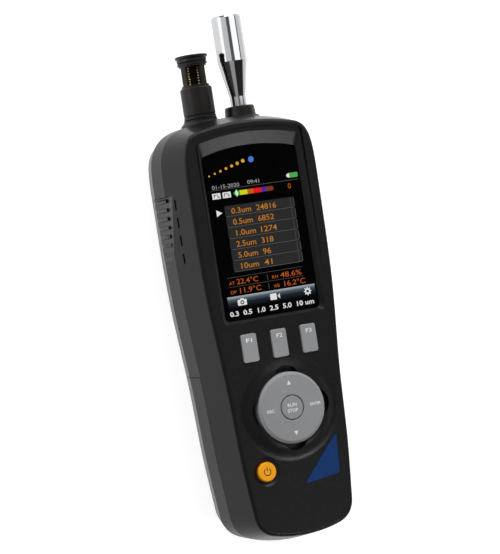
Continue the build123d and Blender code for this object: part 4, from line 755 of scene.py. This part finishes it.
# soft panels: place, what they point at, direction of their long side, size, power, beam angle
PANELS = (
    ("window_panel", (0.25, 1.25, 0.90), (0, 0, 0), (1, 0, 0), (1.5, 0.8), 16.0, 180),
    ("side_panel", (-1.15, 0.80, 0.35), (0, 0.30, 0), (0, 1, 0), (1.1, 0.6), 8.0, 180),
    ("crown_panel", (0.50, 0.66, 1.02), (0, -0.04, 0.05), (1, 0, 0), (0.8, 0.22), 0.45, 180),
    ("foot_panel", (0.52, -0.55, 1.05), (0, 0.06, 0.05), (1, 0, 0), (0.8, 0.16), 0.26, 25),
)

# brightness of the room round the table's long axis: degrees from overhead, to the right, and how bright.
# The upper half of the room is the softboxes' side; the lower half is the dark side, behind the viewer.
ROOM_BRIGHT = ((-180, 0.35), (-114, 0.35), (-110, 2.0), (-68, 2.0), (-64, 1.0), (-26, 1.0), (-22, 0.15),
               (-2, 0.15), (4, 2.1), (44, 2.1), (47, 0.1), (53, 0.1), (57, 1.1), (180, 1.1))
ROOM_DARK = ((-180, 0.35), (-132, 0.35), (-126, 0.06), (-50, 0.06), (-44, 0.5), (-14, 0.5), (-8, 0.03),
             (62, 0.03), (68, 1.0), (180, 1.0))
# share of the bright half against how far a direction leans along Y: only a narrow range mirrors the softboxes
ROOM_LEAN = ((0.068, 0.0), (0.082, 1.0), (0.14, 1.0), (0.17, 0.1))
ROOM_SCALE = 2.5            # the ramps hold the brightness divided by this


def room():
    """Even walls with soft bright and dark fields."""
    world = bpy.data.worlds.new("room")
    bpy.context.scene.world = world
    world.use_nodes = True
    tree = world.node_tree
    tree.nodes.clear()
    way = add(tree, "ShaderNodeTexCoord").outputs["Generated"]
    along = add(tree, "ShaderNodeSeparateXYZ", {0: way})
    turn = add(tree, "ShaderNodeMath", {0: along.outputs["X"], 1: along.outputs["Z"]}, operation="ARCTAN2")
    share = add(tree, "ShaderNodeMapRange", {"Value": turn.outputs[0], "From Min": -math.pi,
                                             "From Max": math.pi})
    fields = []
    for stops in (ROOM_DARK, ROOM_BRIGHT):
        ramp = add(tree, "ShaderNodeValToRGB", {0: share.outputs[0]})
        elements = ramp.color_ramp.elements
        for element, (angle, bright) in zip(elements, (stops[0], stops[-1])):
            element.position, element.color = angle / 360 + 0.5, (bright / ROOM_SCALE,) * 3 + (1,)
        for angle, bright in stops[1:-1]:
            elements.new(angle / 360 + 0.5).color = (bright / ROOM_SCALE,) * 3 + (1,)
        fields.append(ramp.outputs["Color"])
    side = add(tree, "ShaderNodeValToRGB", {0: along.outputs["Y"]})
    elements = side.color_ramp.elements
    for element, (lean, bright) in zip(elements, (ROOM_LEAN[0], ROOM_LEAN[-1])):
        element.position, element.color = lean, (bright,) * 3 + (1,)
    for lean, bright in ROOM_LEAN[1:-1]:
        elements.new(lean).color = (bright,) * 3 + (1,)
    tone = add(tree, "ShaderNodeMix", {0: side.outputs[0], MIX_A: fields[0], MIX_B: fields[1]},
               data_type="RGBA")
    rays = add(tree, "ShaderNodeLightPath")
    seen = add(tree, "ShaderNodeMix", {0: rays.outputs["Is Camera Ray"], MIX_A: tone.outputs[MIX_COLOUR],
                                       MIX_B: (1 / ROOM_SCALE,) * 3 + (1,)}, data_type="RGBA")
    back = add(tree, "ShaderNodeBackground", {"Color": seen.outputs[MIX_COLOUR], "Strength": ROOM_SCALE})
    add(tree, "ShaderNodeOutputWorld", {"Surface": back.outputs[0]})


CAMERA_PLACE = (-0.3608, 0.01315, 0.8691)
CAMERA_AIM = (0.39584, -0.01429, -0.91821)
CAMERA_UP = (0.14597, 0.98815, 0.04755)
CAMERA_LENS = 129.96


def camera():
    data = bpy.data.cameras.new("camera")
    data.lens = CAMERA_LENS
    data.sensor_width = 36.0
    holder = bpy.data.objects.new("camera", data)
    bpy.context.scene.collection.objects.link(holder)
    back = -Vector(CAMERA_AIM).normalized()
    right = Vector(CAMERA_UP).cross(back).normalized()
    up = back.cross(right)
    turn = Matrix((right, up, back)).transposed().to_4x4()
    holder.matrix_world = Matrix.Translation(CAMERA_PLACE) @ turn
    bpy.context.scene.camera = holder


camera()
studio()
bpy.context.scene.view_settings.view_transform = "Standard"
dress_nodes()
key_legends()
glass_back()
status_line()
scale_line()
count_table()
readings()
softkey_bar()
glass_prints()
bead_screen()
sleeve_mark()
bush_thread()
